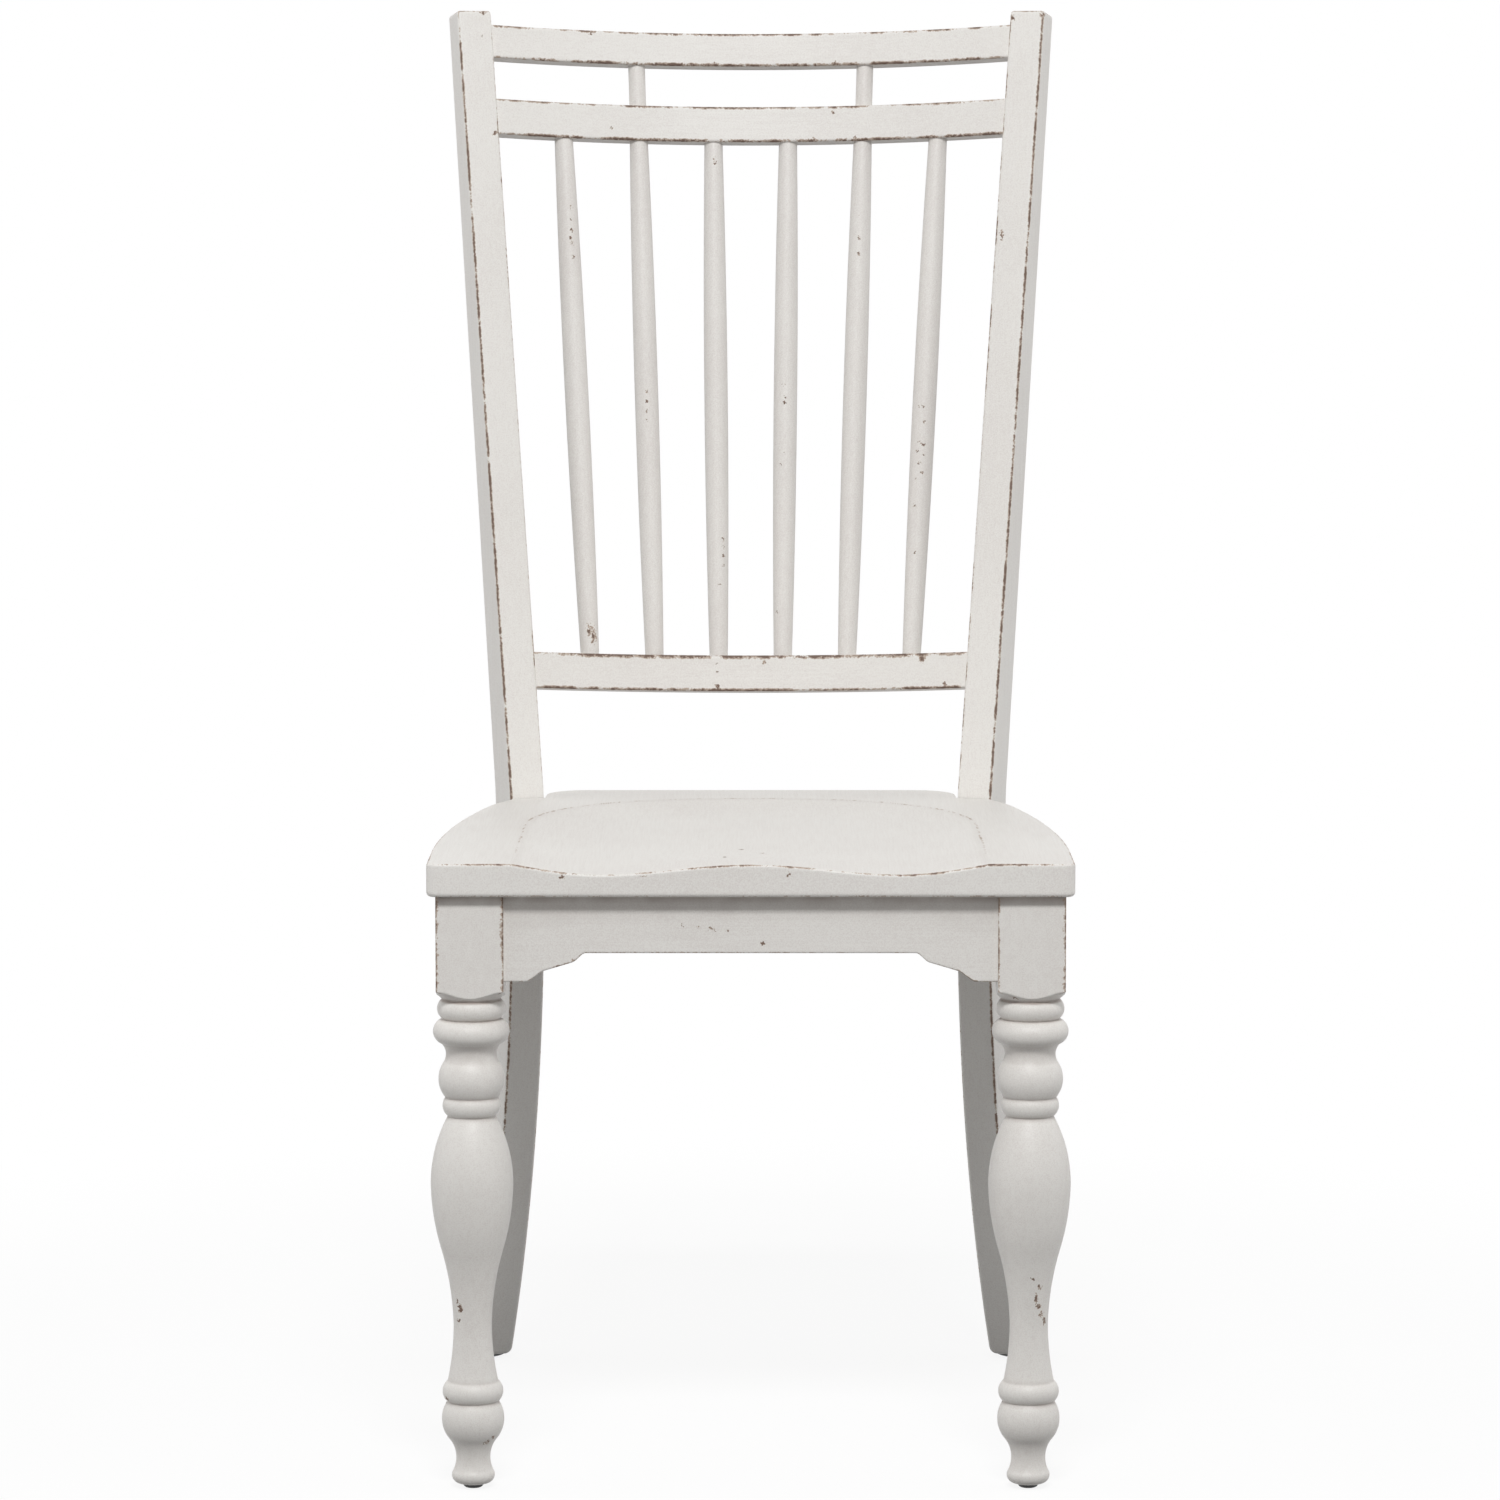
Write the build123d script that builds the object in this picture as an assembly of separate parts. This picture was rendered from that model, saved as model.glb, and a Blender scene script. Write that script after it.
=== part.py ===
from build123d import *
import math
import os

# A painted wooden side chair: saddle seat, two turned front legs, two bent posts that run from the floor to
# the top of the back, three curved back rails and six turned spindles. All lengths are in millimetres.
# X runs across the chair, Y from front to back, Z up. The sitter looks along -Y.

# Whole chair
overall_height = 1084.4
depth_over_posts = 553.7
seat_height = 466
seat_width = 470

# Clearances and the overrun that every cutting shape has
fit_clearance = 0.15
end_clearance = 0.8
overrun = 6

# Seat slab
seat_thickness = 24.5
seat_corner_radius = 8
seat_edge_radius = 2.5
seat_widest_back = 75
seat_shoulder_draw = 29
seat_shoulder_forward = 61
seat_heel_share = 0.94
tongue_corner_radius = 32
tongue_overhang = 18

# Scoop in the seat: a flat-bottomed dish with a ridge that fades out behind the front edge
scoop_width = 345
scoop_length = 416
scoop_straight_length = 222
scoop_depth = 7.8
scoop_flat_share = 0.62
scoop_roundness = 2.4
scoop_reach_share = 1.3
ridge_half_width = 112
ridge_length = 170
ridge_height_share = 0.93
scoop_columns = 31
scoop_rows = 25

# Front legs
leg_block_size = 49.3
leg_block_height = 78.5
leg_block_edge_radius = 1.5
leg_side_setback = 6.3
leg_front_setback = 9.3
leg_vase_radius = 30.2
leg_shoulder_height = 8.3
leg_shoulder_run_share = 0.416
leg_shoulder_bulge_share = 0.57
leg_neck_radius_share = 0.705
leg_toe_radius_share = 0.36
# Each row is an arc: height and radius of its middle, then of its end, as shares of the turned height
# and of the vase radius, from the neck under the block down to the toe
leg_turning_shares = (
    (0.981, 0.825, 0.960, 0.689),
    (0.935, 0.926, 0.910, 0.728),
    (0.893, 0.622, 0.872, 0.668),
    (0.838, 0.800, 0.800, 0.636),
    (0.781, 0.703, 0.762, 0.576),
    (0.698, 0.882, 0.623, 1.000),
    (0.557, 0.932, 0.490, 0.752),
    (0.413, 0.546, 0.336, 0.464),
    (0.278, 0.501, 0.220, 0.614),
    (0.199, 0.738, 0.178, 0.626),
    (0.143, 0.759, 0.102, 0.588),
    (0.060, 0.416, 0.035, 0.492),
)
leg_toe_bulge_height_share = 0.019
leg_toe_bulge_radius_share = 0.504

# Rear posts, each drawn in its own upright plane that is turned outwards about the vertical
post_gap_at_seat = 324.8
post_turn_angle = 21.4
post_rake_angle = 11.08
post_width = 28.6
post_depth_at_seat = 38.6
post_depth_at_top = 23.8
post_depth_at_foot = 34
post_foot_kick = 84.4
post_bend_radius = 120
post_edge_radius = 3
post_end_radius = 2.6
post_foot_radius = 6

# Back rails, which lie in the plane of the leaning back; their gaps and heights run along that plane
rail_thickness = 19
rail_setback = 4
rail_edge_radius = 2
crest_rail_drop = 10.6
crest_rail_height = 26.6
hand_gap = 32.9
upper_rail_height = 28.6
lower_rail_gap = 87.3
lower_rail_height = 28.7
rail_tenon_length = 18
rail_tenon_thickness = 10
rail_tenon_shoulder = 4.5

# Spindles; places are shares of half the span between the posts
spindle_place_shares = (-0.75, -0.45, -0.15, 0.15, 0.45, 0.75)
spindle_end_radius = 7.3
spindle_belly_radius = 9.4
spindle_belly_share = 0.5
spindle_thin_radius = 6.7
spindle_tenon = 14
spindle_step = 9

# Seat frame
apron_thickness = 20
apron_height = 42.5
apron_recess = 4.5
bracket_drop = 21
bracket_flat = 17.5
bracket_step_run = 10
bracket_step_rise = 7.5
bracket_slope_run = 23.5
bracket_slope_rise = 7
bracket_end_run = 7
bracket_soft_radius = 3
bracket_round_radius = 6

# Corner blocks
block_height = 32
front_block_reach = 45
rear_block_reach = 45

# Dowels in the apron ends
dowel_radius = 4
dowel_length = 28
dowel_edge_distance = 11

# Screws
screw_radius = 2
screw_head_radius = 4
screw_head_height = 3
screw_head_clearance = 0.4
apron_screw_bite = 13
apron_screw_seat = 14
apron_screw_run = 22
seat_screw_bite = 14
seat_screw_seat = 20
seat_screw_inset = 8

# Glides under the feet
glide_thickness = 3.5
glide_flat_radius = 4.5
front_glide_radius = 7.6
rear_glide_radius = 14
glide_rim = 0.8
glide_pin_radius = 1.5
glide_pin_length = 15

# Places worked out from the sizes above
turn = math.radians(post_turn_angle)
rake = math.radians(post_rake_angle)
front_y = -depth_over_posts / 2
seat_underside = seat_height - seat_thickness
leg_x = seat_width / 2 - leg_side_setback - leg_block_size / 2
leg_y = front_y + leg_front_setback + leg_block_size / 2
leg_block_bottom = seat_underside - leg_block_height
post_x = post_gap_at_seat / 2
post_top_s = (overall_height - seat_height) * math.tan(rake)
post_top_back_s = post_top_s + post_depth_at_top * math.cos(rake)
post_y = depth_over_posts / 2 - post_top_back_s * math.cos(turn)
apron_bottom = seat_underside - apron_height
apron_front_y = leg_y - leg_block_size / 2 + apron_recess
tongue_back_y = post_y + post_depth_at_seat * math.cos(turn) + tongue_overhang

# The posts lean back and spread at these rates, and the plane of the back leans by this angle
back_lean = math.atan(math.tan(rake) * math.cos(turn))
spread_per_height = math.tan(rake) * math.sin(turn)
back_plane = Plane(
    origin=(0, post_y, seat_height),
    x_dir=(1, 0, 0),
    z_dir=(0, math.sin(back_lean), math.cos(back_lean)),
)
crest_rail_top = (overall_height - seat_height) / math.cos(back_lean) - crest_rail_drop
upper_rail_top = crest_rail_top - crest_rail_height - hand_gap
lower_rail_top = lower_rail_gap + lower_rail_height


def mirrored(shape):
    return mirror(shape, about=Plane.YZ)


# Seat

def seat_face():
    half = seat_width / 2
    heel = (
        post_x + seat_heel_share * post_width * math.cos(turn),
        post_y - seat_heel_share * post_width * math.sin(turn),
    )
    front = Line((0, front_y), (half - seat_corner_radius, front_y))
    corner = TangentArc(front @ 1, (half, front_y + seat_corner_radius), tangent=(1, 0))
    flank = Line(corner @ 1, (half, front_y + seat_widest_back))
    shoulder_point = (half - seat_shoulder_draw, post_y - seat_shoulder_forward)
    side = TangentArc(flank @ 1, shoulder_point, tangent=(0, 1))
    shoulder = TangentArc(side @ 1, heel, tangent=side % 1)
    notch = Line(heel, (post_x, post_y + overrun))
    tongue = Line(notch @ 1, (post_x, tongue_back_y - tongue_corner_radius))
    rear_corner = TangentArc(tongue @ 1, (post_x - tongue_corner_radius, tongue_back_y), tangent=(0, 1))
    rear = Line(rear_corner @ 1, (0, tongue_back_y))
    right = Curve() + [front, corner, flank, side, shoulder, notch, tongue, rear_corner, rear]
    return make_face(right + mirrored(right))


def scoop_height(x, from_front):
    half = scoop_width / 2
    rear_length = scoop_length - scoop_straight_length
    run = max(from_front - scoop_straight_length, 0) / rear_length
    rim = ((abs(x) / half) ** scoop_roundness + run ** scoop_roundness) ** (1 / scoop_roundness)
    rim = min(rim, scoop_reach_share)
    wall = max(rim - scoop_flat_share, 0) / (1 - scoop_flat_share)
    depth = scoop_depth * math.cos(math.pi / 2 * wall)
    if abs(x) < ridge_half_width and from_front < ridge_length:
        along = (1 + math.cos(math.pi * max(from_front, 0) / ridge_length)) / 2
        across = (1 + math.cos(math.pi * x / ridge_half_width)) / 2
        depth = depth * (1 - ridge_height_share * along * across)
    return seat_height - depth


def scoop_cutter():
    reach = seat_width / 2 + overrun
    length = tongue_back_y - front_y + 2 * overrun
    rows = []
    for row in range(scoop_rows):
        from_front = length * row / (scoop_rows - 1) - overrun
        points = []
        for column in range(scoop_columns):
            x = reach * (2 * column / (scoop_columns - 1) - 1)
            points.append((x, front_y + from_front, scoop_height(x, from_front)))
        rows.append(points)
    floor = Face.make_surface_from_array_of_points(rows, tol=fit_clearance / 3)
    return extrude(floor, amount=seat_thickness, dir=(0, 0, 1))


def make_seat():
    slab = Pos(0, 0, seat_underside) * extrude(seat_face(), amount=seat_thickness)
    rims = slab.faces().sort_by(Axis.Z)
    slab = fillet(rims[0].edges() + rims[-1].edges(), seat_edge_radius)
    seat = slab - scoop_cutter()
    for side in (1, -1):
        seat -= post_notch(side)
    return seat


# Front legs

def leg_profile():
    height = leg_block_bottom
    neck = (leg_neck_radius_share * leg_vase_radius, height)
    corner_radius = leg_block_size / math.sqrt(2) + fit_clearance
    shoulder_top = (corner_radius, height + leg_shoulder_height)
    shoulder_mid = (
        neck[0] + leg_shoulder_run_share * (corner_radius - neck[0]),
        height + leg_shoulder_bulge_share * leg_shoulder_height,
    )
    lines = [
        Line((0, seat_underside), (corner_radius, seat_underside)),
        Line((corner_radius, seat_underside), shoulder_top),
        ThreePointArc(shoulder_top, shoulder_mid, neck),
    ]
    start = neck
    for mid_height, mid_radius, end_height, end_radius in leg_turning_shares:
        mid = (mid_radius * leg_vase_radius, mid_height * height)
        end = (end_radius * leg_vase_radius, end_height * height)
        lines.append(ThreePointArc(start, mid, end))
        start = end
    toe_mid = (leg_toe_bulge_radius_share * leg_vase_radius, leg_toe_bulge_height_share * height)
    toe = (leg_toe_radius_share * leg_vase_radius, glide_thickness)
    lines.append(ThreePointArc(start, toe_mid, toe))
    lines.append(Line(toe, (0, glide_thickness)))
    lines.append(Line((0, glide_thickness), (0, seat_underside)))
    return make_face(Plane.XZ * (Curve() + lines))


def make_front_leg(side):
    turned = revolve(leg_profile(), Axis.Z)
    block = Pos(0, 0, seat_underside - leg_block_height / 2) * Box(
        leg_block_size, leg_block_size, leg_block_height)
    block = fillet(block.edges().filter_by(Axis.Z), leg_block_edge_radius)
    below = Pos(0, 0, leg_block_bottom / 2) * Cylinder(leg_block_size, leg_block_bottom)
    leg = Pos(leg_x, leg_y, 0) * (turned & (block + below))
    if side < 0:
        leg = mirrored(leg)
    return leg - front_glide(side, fit_clearance)


# Rear posts

def post_plane(side):
    # In this plane the first axis runs back and outwards, the second runs up
    return Plane(
        origin=(side * post_x, post_y, 0),
        x_dir=(side * math.sin(turn), math.cos(turn), 0),
        z_dir=(math.cos(turn), -side * math.sin(turn), 0),
    )


def post_point(side, s, across, z):
    # Place at a distance back along the post's plane and across its width from the inner face
    return Vector(
        side * (post_x + s * math.sin(turn) + across * math.cos(turn)),
        post_y + s * math.cos(turn) - across * math.sin(turn),
        z,
    )


def post_face():
    straight_bottom = apron_bottom
    foot_front = (post_foot_kick, glide_thickness)
    foot_back = (post_foot_kick + post_depth_at_foot, glide_thickness)
    top_front = (post_top_s, overall_height)
    top_back = (post_top_back_s, overall_height - post_depth_at_top * math.sin(rake))
    upper = FilletPolyline(
        (0, straight_bottom), (0, seat_height), top_front, top_back,
        (post_depth_at_seat, seat_height), (post_depth_at_seat, straight_bottom),
        radius=(post_bend_radius, 0, 0, post_bend_radius))
    front = TangentArc((0, straight_bottom), foot_front, tangent=(0, -1))
    back = TangentArc((post_depth_at_seat, straight_bottom), foot_back, tangent=(0, -1))
    return make_face(upper + front + back + Line(foot_front, foot_back))


def post_notch(side):
    # The room that a post takes at the seat, from its inner front corner outwards and back
    near = -fit_clearance
    far_s = post_depth_at_seat + overrun
    far_across = post_width + overrun
    corners = []
    for s, across in ((near, near), (near, far_across), (far_s, far_across), (far_s, near)):
        place = post_point(side, s, across, 0)
        corners.append((place.X, place.Y))
    return extrude(make_face(Polyline(*corners, close=True)), amount=overall_height)


def make_rear_post(side):
    plane = post_plane(1)
    post = extrude(plane * post_face(), amount=post_width)
    across = Vector(math.cos(turn), -math.sin(turn), 0)
    foot_sides = []
    for edge in post.edges():
        along = (edge @ 1 - edge @ 0).normalized()
        high = max((edge @ 0).Z, (edge @ 1).Z)
        if high < glide_thickness + fit_clearance and abs(along.dot(across)) < fit_clearance:
            foot_sides.append(edge)
    post = fillet(foot_sides, post_foot_radius)
    long_edges = []
    for edge in post.edges():
        along = (edge @ 1 - edge @ 0).normalized()
        low = min((edge @ 0).Z, (edge @ 1).Z)
        high = max((edge @ 0).Z, (edge @ 1).Z)
        is_foot = high < glide_thickness + fit_clearance
        is_top = low > overall_height - post_depth_at_top * math.sin(rake) - fit_clearance
        is_foot_seam = abs(along.Z) < fit_clearance and abs(along.dot(across)) < fit_clearance
        runs_along = abs(along.dot(across)) < math.cos(turn) - fit_clearance
        if not is_top and not is_foot_seam and (is_foot or runs_along):
            long_edges.append(edge)
    post = fillet(long_edges, post_edge_radius)
    ends = []
    for edge in post.edges():
        low = min((edge @ 0).Z, (edge @ 1).Z)
        if low > overall_height - post_depth_at_top * math.sin(rake) - post_edge_radius:
            ends.append(edge)
    post = fillet(ends, post_end_radius)
    for name in rail_sizes:
        post -= rail_tenon(name, fit_clearance)
    if side < 0:
        post = mirrored(post)
    return post - rear_glide(side, fit_clearance)


# Back rails

rail_sizes = {
    "crest_rail": (crest_rail_top, crest_rail_height),
    "upper_back_rail": (upper_rail_top, upper_rail_height),
    "lower_back_rail": (lower_rail_top, lower_rail_height),
}


def half_span(up):
    # Half the span between the posts' inner front corners, at a height up the back
    return post_x + up * math.cos(back_lean) * spread_per_height


def rail_radius(name):
    top, height = rail_sizes[name]
    return half_span(top - height / 2) / math.sin(turn)


def rail_band(name, inset, thickness, angle):
    radius = rail_radius(name) + inset
    centre = (0, rail_setback - rail_radius(name) * math.cos(turn))
    inner = CenterArc(centre, radius, 90 - angle, 2 * angle)
    outer = CenterArc(centre, radius + thickness, 90 - angle, 2 * angle)
    return make_face(inner + outer + Line(inner @ 0, outer @ 0) + Line(inner @ 1, outer @ 1))


def between_posts(outward):
    # Everything between the inner faces of the posts, with those faces moved outward
    near = post_y - depth_over_posts / 2
    far = post_y + depth_over_posts / 2
    points = []
    for y in (near, far):
        x = post_x + (y - post_y) * math.tan(turn) + outward / math.cos(turn)
        points.append((x, y))
    (near_x, near_y), (far_x, far_y) = points
    outline = Polyline((near_x, near_y), (far_x, far_y), (-far_x, far_y), (-near_x, near_y), close=True)
    return extrude(make_face(outline), amount=overall_height + overrun)


def sweep_angle(name, outward):
    return math.degrees(math.asin(min(1, (half_span(rail_sizes[name][0]) + 3 * outward) / rail_radius(name))))


def rail_tenon(name, clearance):
    top, height = rail_sizes[name]
    inset = (rail_thickness - rail_tenon_thickness) / 2 - clearance
    thickness = rail_tenon_thickness + 2 * clearance
    tenon_height = height - 2 * rail_tenon_shoulder + 2 * clearance
    band = rail_band(name, inset, thickness, sweep_angle(name, rail_tenon_length))
    solid = extrude(band, amount=tenon_height)
    solid = back_plane.location * Pos(0, 0, top - rail_tenon_shoulder + clearance - tenon_height) * solid
    reach = rail_tenon_length
    if clearance > 0:
        reach += end_clearance
    return solid & between_posts(reach)


def make_rail(name):
    top, height = rail_sizes[name]
    body = extrude(rail_band(name, 0, rail_thickness, sweep_angle(name, rail_tenon_length)), amount=height)
    rims = body.faces().sort_by(Axis.Z)
    long_edges = (rims[0].edges() + rims[-1].edges()).filter_by(GeomType.CIRCLE)
    body = fillet(long_edges, rail_edge_radius)
    body = back_plane.location * Pos(0, 0, top - height) * body
    rail = (body & between_posts(0)) + rail_tenon(name, 0)
    for number in range(len(spindle_place_shares)):
        rail -= make_spindle(number, fit_clearance)
    return rail


# Spindles

def rail_middle(name, x):
    # Distance behind the plane of the back to the middle of a rail's thickness
    radius = rail_radius(name) + rail_thickness / 2
    centre = rail_setback - rail_radius(name) * math.cos(turn)
    return centre + math.sqrt(radius ** 2 - x ** 2)


def spindle_is_long(number):
    return number in (1, len(spindle_place_shares) - 2)


def make_spindle(number, clearance):
    share = spindle_place_shares[number]
    upper_bottom = upper_rail_top - upper_rail_height
    low_x = share * half_span(lower_rail_top)
    high_x = share * half_span(upper_bottom)
    low = back_plane.from_local_coords((low_x, rail_middle("lower_back_rail", low_x), lower_rail_top))
    high = back_plane.from_local_coords((high_x, rail_middle("upper_back_rail", high_x), upper_bottom))
    axis = high - low
    length = axis.length
    end = spindle_end_radius + clearance
    thin = spindle_thin_radius + clearance
    depth = spindle_tenon
    if clearance > 0:
        depth += end_clearance
    belly = (spindle_belly_radius + clearance, spindle_belly_share * length)
    outline = Line((0, -depth), (end, -depth)) + Line((end, -depth), (end, 0))
    outline += ThreePointArc((end, 0), belly, (end, length))
    if spindle_is_long(number):
        step = length + spindle_step + (depth - spindle_tenon)
        tip = length + (crest_rail_top - crest_rail_height - upper_bottom) + depth
        outline += Line((end, length), (end, step)) + Line((end, step), (thin, step))
        outline += Line((thin, step), (thin, tip)) + Line((thin, tip), (0, tip))
    else:
        tip = length + depth
        outline += Line((end, length), (end, tip)) + Line((end, tip), (0, tip))
    outline += Line((0, tip), (0, -depth))
    solid = revolve(make_face(Plane.XZ * outline), Axis.Z)
    return Plane(origin=low, z_dir=axis.normalized()).location * solid


# Seat frame

def crossing(point_a, along_a, point_b, along_b):
    # Where two lines in plan cross
    det = along_a.X * along_b.Y - along_a.Y * along_b.X
    gap = point_b - point_a
    return point_a + along_a * ((gap.X * along_b.Y - gap.Y * along_b.X) / det)


def flat_board(points, bottom, height):
    outline = Polyline(*[(p.X, p.Y) for p in points], close=True)
    return Pos(0, 0, bottom) * extrude(make_face(outline), amount=height)


# The side apron runs from the middle of the leg block's back, set in from its outer face, to the
# middle of the post's front face
side_front = Vector(
    leg_x + leg_block_size / 2 - apron_recess - apron_thickness / 2, leg_y + leg_block_size / 2, 0)
side_rear = post_point(1, 0, post_width / 2, 0)
side_along = (side_rear - side_front).normalized()
side_across = Vector(side_along.Y, -side_along.X, 0)
post_front_along = Vector(math.cos(turn), -math.sin(turn), 0)


def side_line(offset_out):
    return side_front + side_across * offset_out


def make_front_apron():
    inner = leg_x - leg_block_size / 2
    foot = apron_bottom - bracket_drop
    step_1 = inner - bracket_flat
    step_2 = step_1 - bracket_step_run
    step_3 = step_2 - bracket_slope_run
    step_4 = step_3 - bracket_end_run
    rise_1 = foot + bracket_step_rise
    rise_2 = rise_1 + bracket_slope_rise
    lower = FilletPolyline(
        (inner, seat_underside), (inner, foot), (step_1, foot), (step_2, rise_1), (step_3, rise_2),
        (step_4, apron_bottom), (0, apron_bottom),
        radius=(0, bracket_soft_radius, bracket_soft_radius, bracket_round_radius, bracket_soft_radius))
    half = lower + Line((inner, seat_underside), (0, seat_underside))
    face = make_face(half + Line((0, apron_bottom), (0, seat_underside)))
    board = extrude(Plane.XZ.offset(-apron_front_y) * face, amount=-apron_thickness)
    apron = board + mirrored(board)
    return cut_fasteners(apron)


def make_side_apron(side):
    leg_back = Vector(0, leg_y + leg_block_size / 2, 0)
    corners = []
    for out in (-apron_thickness / 2, apron_thickness / 2):
        line = side_line(out)
        corners.append(crossing(line, side_along, leg_back, Vector(1, 0, 0)))
        corners.append(crossing(line, side_along, post_point(1, 0, 0, 0), post_front_along))
    a, b, c, d = corners
    apron = flat_board([a, b, d, c], apron_bottom, apron_height)
    if side < 0:
        apron = mirrored(apron)
    return cut_fasteners(apron)


rear_apron_y = post_y + post_depth_at_seat / 2 * math.cos(turn) - apron_thickness / 2


def post_inner_x(y):
    return post_x + (y - post_y) * math.tan(turn)


def make_rear_apron():
    points = []
    for y in (rear_apron_y, rear_apron_y + apron_thickness):
        points.append(Vector(post_inner_x(y), y, 0))
    near, far = points
    corners = [near, far, Vector(-far.X, far.Y, 0), Vector(-near.X, near.Y, 0)]
    return cut_fasteners(flat_board(corners, apron_bottom, apron_height))


# Corner blocks

def front_block_corners():
    face_y = apron_front_y + apron_thickness
    leg_inner = leg_x - leg_block_size / 2
    leg_back = leg_y + leg_block_size / 2
    inner_line = side_line(-apron_thickness / 2)
    across = Vector(1, 0, 0)
    near = crossing(inner_line, side_along, Vector(0, leg_back, 0), across)
    far = crossing(inner_line, side_along, Vector(0, leg_back + front_block_reach, 0), across)
    return [
        Vector(leg_inner - front_block_reach, face_y, 0), Vector(leg_inner, face_y, 0),
        Vector(leg_inner, leg_back, 0), near, far,
    ]


def rear_block_corners():
    inner_line = side_line(-apron_thickness / 2)
    on_post = crossing(inner_line, side_along, post_point(1, 0, 0, 0), post_front_along)
    forward = Vector(0, on_post.Y - rear_block_reach, 0)
    at_side = crossing(inner_line, side_along, forward, Vector(1, 0, 0))
    end_x = post_inner_x(rear_apron_y)
    return [
        Vector(end_x - rear_block_reach, rear_apron_y, 0), Vector(end_x, rear_apron_y, 0),
        post_point(1, 0, 0, 0), on_post, at_side,
    ]


def make_corner_block(corners, side):
    block = flat_board(corners, seat_underside - block_height, block_height)
    if side < 0:
        block = mirrored(block)
    return cut_fasteners(block)


# Fasteners: each place is a plane whose third axis runs from the head to the tip

def dowel_planes():
    # Planes at the joint, on the right side of the chair
    planes = []
    apron_middle = apron_front_y + apron_thickness / 2
    rear_middle = rear_apron_y + apron_thickness / 2
    joints = (
        (Vector(leg_x - leg_block_size / 2, apron_middle, 0), Vector(1, 0, 0)),
        (side_front, side_along * -1),
        (side_rear, side_along),
        (Vector(post_inner_x(rear_middle), rear_middle, 0), Vector(1, 0, 0)),
    )
    heights = (apron_bottom + dowel_edge_distance, seat_underside - dowel_edge_distance)
    for place, direction in joints:
        for height in heights:
            planes.append(Plane(origin=(place.X, place.Y, height), z_dir=direction))
    return planes


def dowel(plane, clearance):
    length = dowel_length
    if clearance > 0:
        length += end_clearance
    return plane.location * Cylinder(dowel_radius + clearance, length)


def apron_screw_planes():
    # Each origin is on the apron's inner face, and the third axis runs into the apron
    height = seat_underside - block_height / 2
    planes = []
    for corners in (front_block_corners(), rear_block_corners()):
        along = (corners[1] - corners[0]).normalized()
        forward = Vector(0, -1, 0)
        if corners[1].Y > post_y:
            forward = Vector(0, 1, 0)
        place = corners[1] - along * apron_screw_run
        planes.append(Plane(origin=(place.X, place.Y, height), z_dir=forward))
        side_run = (corners[4] - corners[3]).normalized()
        place = corners[3] + side_run * apron_screw_run
        planes.append(Plane(origin=(place.X, place.Y, height), z_dir=side_across))
    return planes


def seat_screw_planes():
    # Each origin is at the seat's underside, and the third axis runs up
    planes = []
    for corners in (front_block_corners(), rear_block_corners()):
        inward = ((corners[0] + corners[4]) * 0.5 - corners[2]).normalized()
        place = corners[2] + inward * seat_screw_inset
        planes.append(Plane(origin=(place.X, place.Y, seat_underside), z_dir=(0, 0, 1)))
    return planes


def screw(plane, seat, bite):
    shank = Pos(0, 0, (bite - seat) / 2) * Cylinder(screw_radius, bite + seat)
    head = Pos(0, 0, -seat - screw_head_height / 2) * Cylinder(screw_head_radius, screw_head_height)
    return plane.location * (shank + head)


def screw_hole(plane, seat, bite):
    length = bite + seat + end_clearance
    shank = Pos(0, 0, length / 2 - seat) * Cylinder(screw_radius + fit_clearance, length)
    pocket = Pos(0, 0, -seat - block_height) * Cylinder(
        screw_head_radius + screw_head_clearance, 2 * block_height)
    return plane.location * (shank + pocket)


def fastener_holes():
    holes = [dowel(plane, fit_clearance) for plane in dowel_planes()]
    holes += [screw_hole(plane, apron_screw_seat, apron_screw_bite) for plane in apron_screw_planes()]
    holes += [screw_hole(plane, seat_screw_seat, seat_screw_bite) for plane in seat_screw_planes()]
    return holes + [mirrored(hole) for hole in holes]


holes_once = []


def cut_fasteners(body):
    if not holes_once:
        holes_once.extend(fastener_holes())
    for hole in holes_once:
        if (body & hole) is not None:
            body -= hole
    return body


def both_sides(shapes):
    solids = []
    for shape in shapes + [mirrored(shape) for shape in shapes]:
        solids.extend(shape.solids())
    return Compound(solids)


# Glides

def glide(radius, clearance):
    pin = glide_pin_radius + clearance
    pin_top = glide_thickness + glide_pin_length
    if clearance > 0:
        pin_top += end_clearance
    dome_top = glide_thickness - glide_rim
    flat = Line((0, 0), (glide_flat_radius, 0))
    outline = flat + TangentArc(flat @ 1, (radius, dome_top), tangent=(1, 0))
    outline += Polyline((radius, dome_top), (radius, glide_thickness), (pin, glide_thickness),
                        (pin, pin_top), (0, pin_top), (0, 0))
    return revolve(make_face(Plane.XZ * outline), Axis.Z)


def front_glide(side, clearance):
    return Pos(side * leg_x, leg_y, 0) * glide(front_glide_radius, clearance)


def rear_glide(side, clearance):
    middle = post_point(side, post_foot_kick + post_depth_at_foot / 2, post_width / 2, 0)
    return Pos(middle.X, middle.Y, 0) * glide(rear_glide_radius, clearance)


# The whole chair

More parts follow.
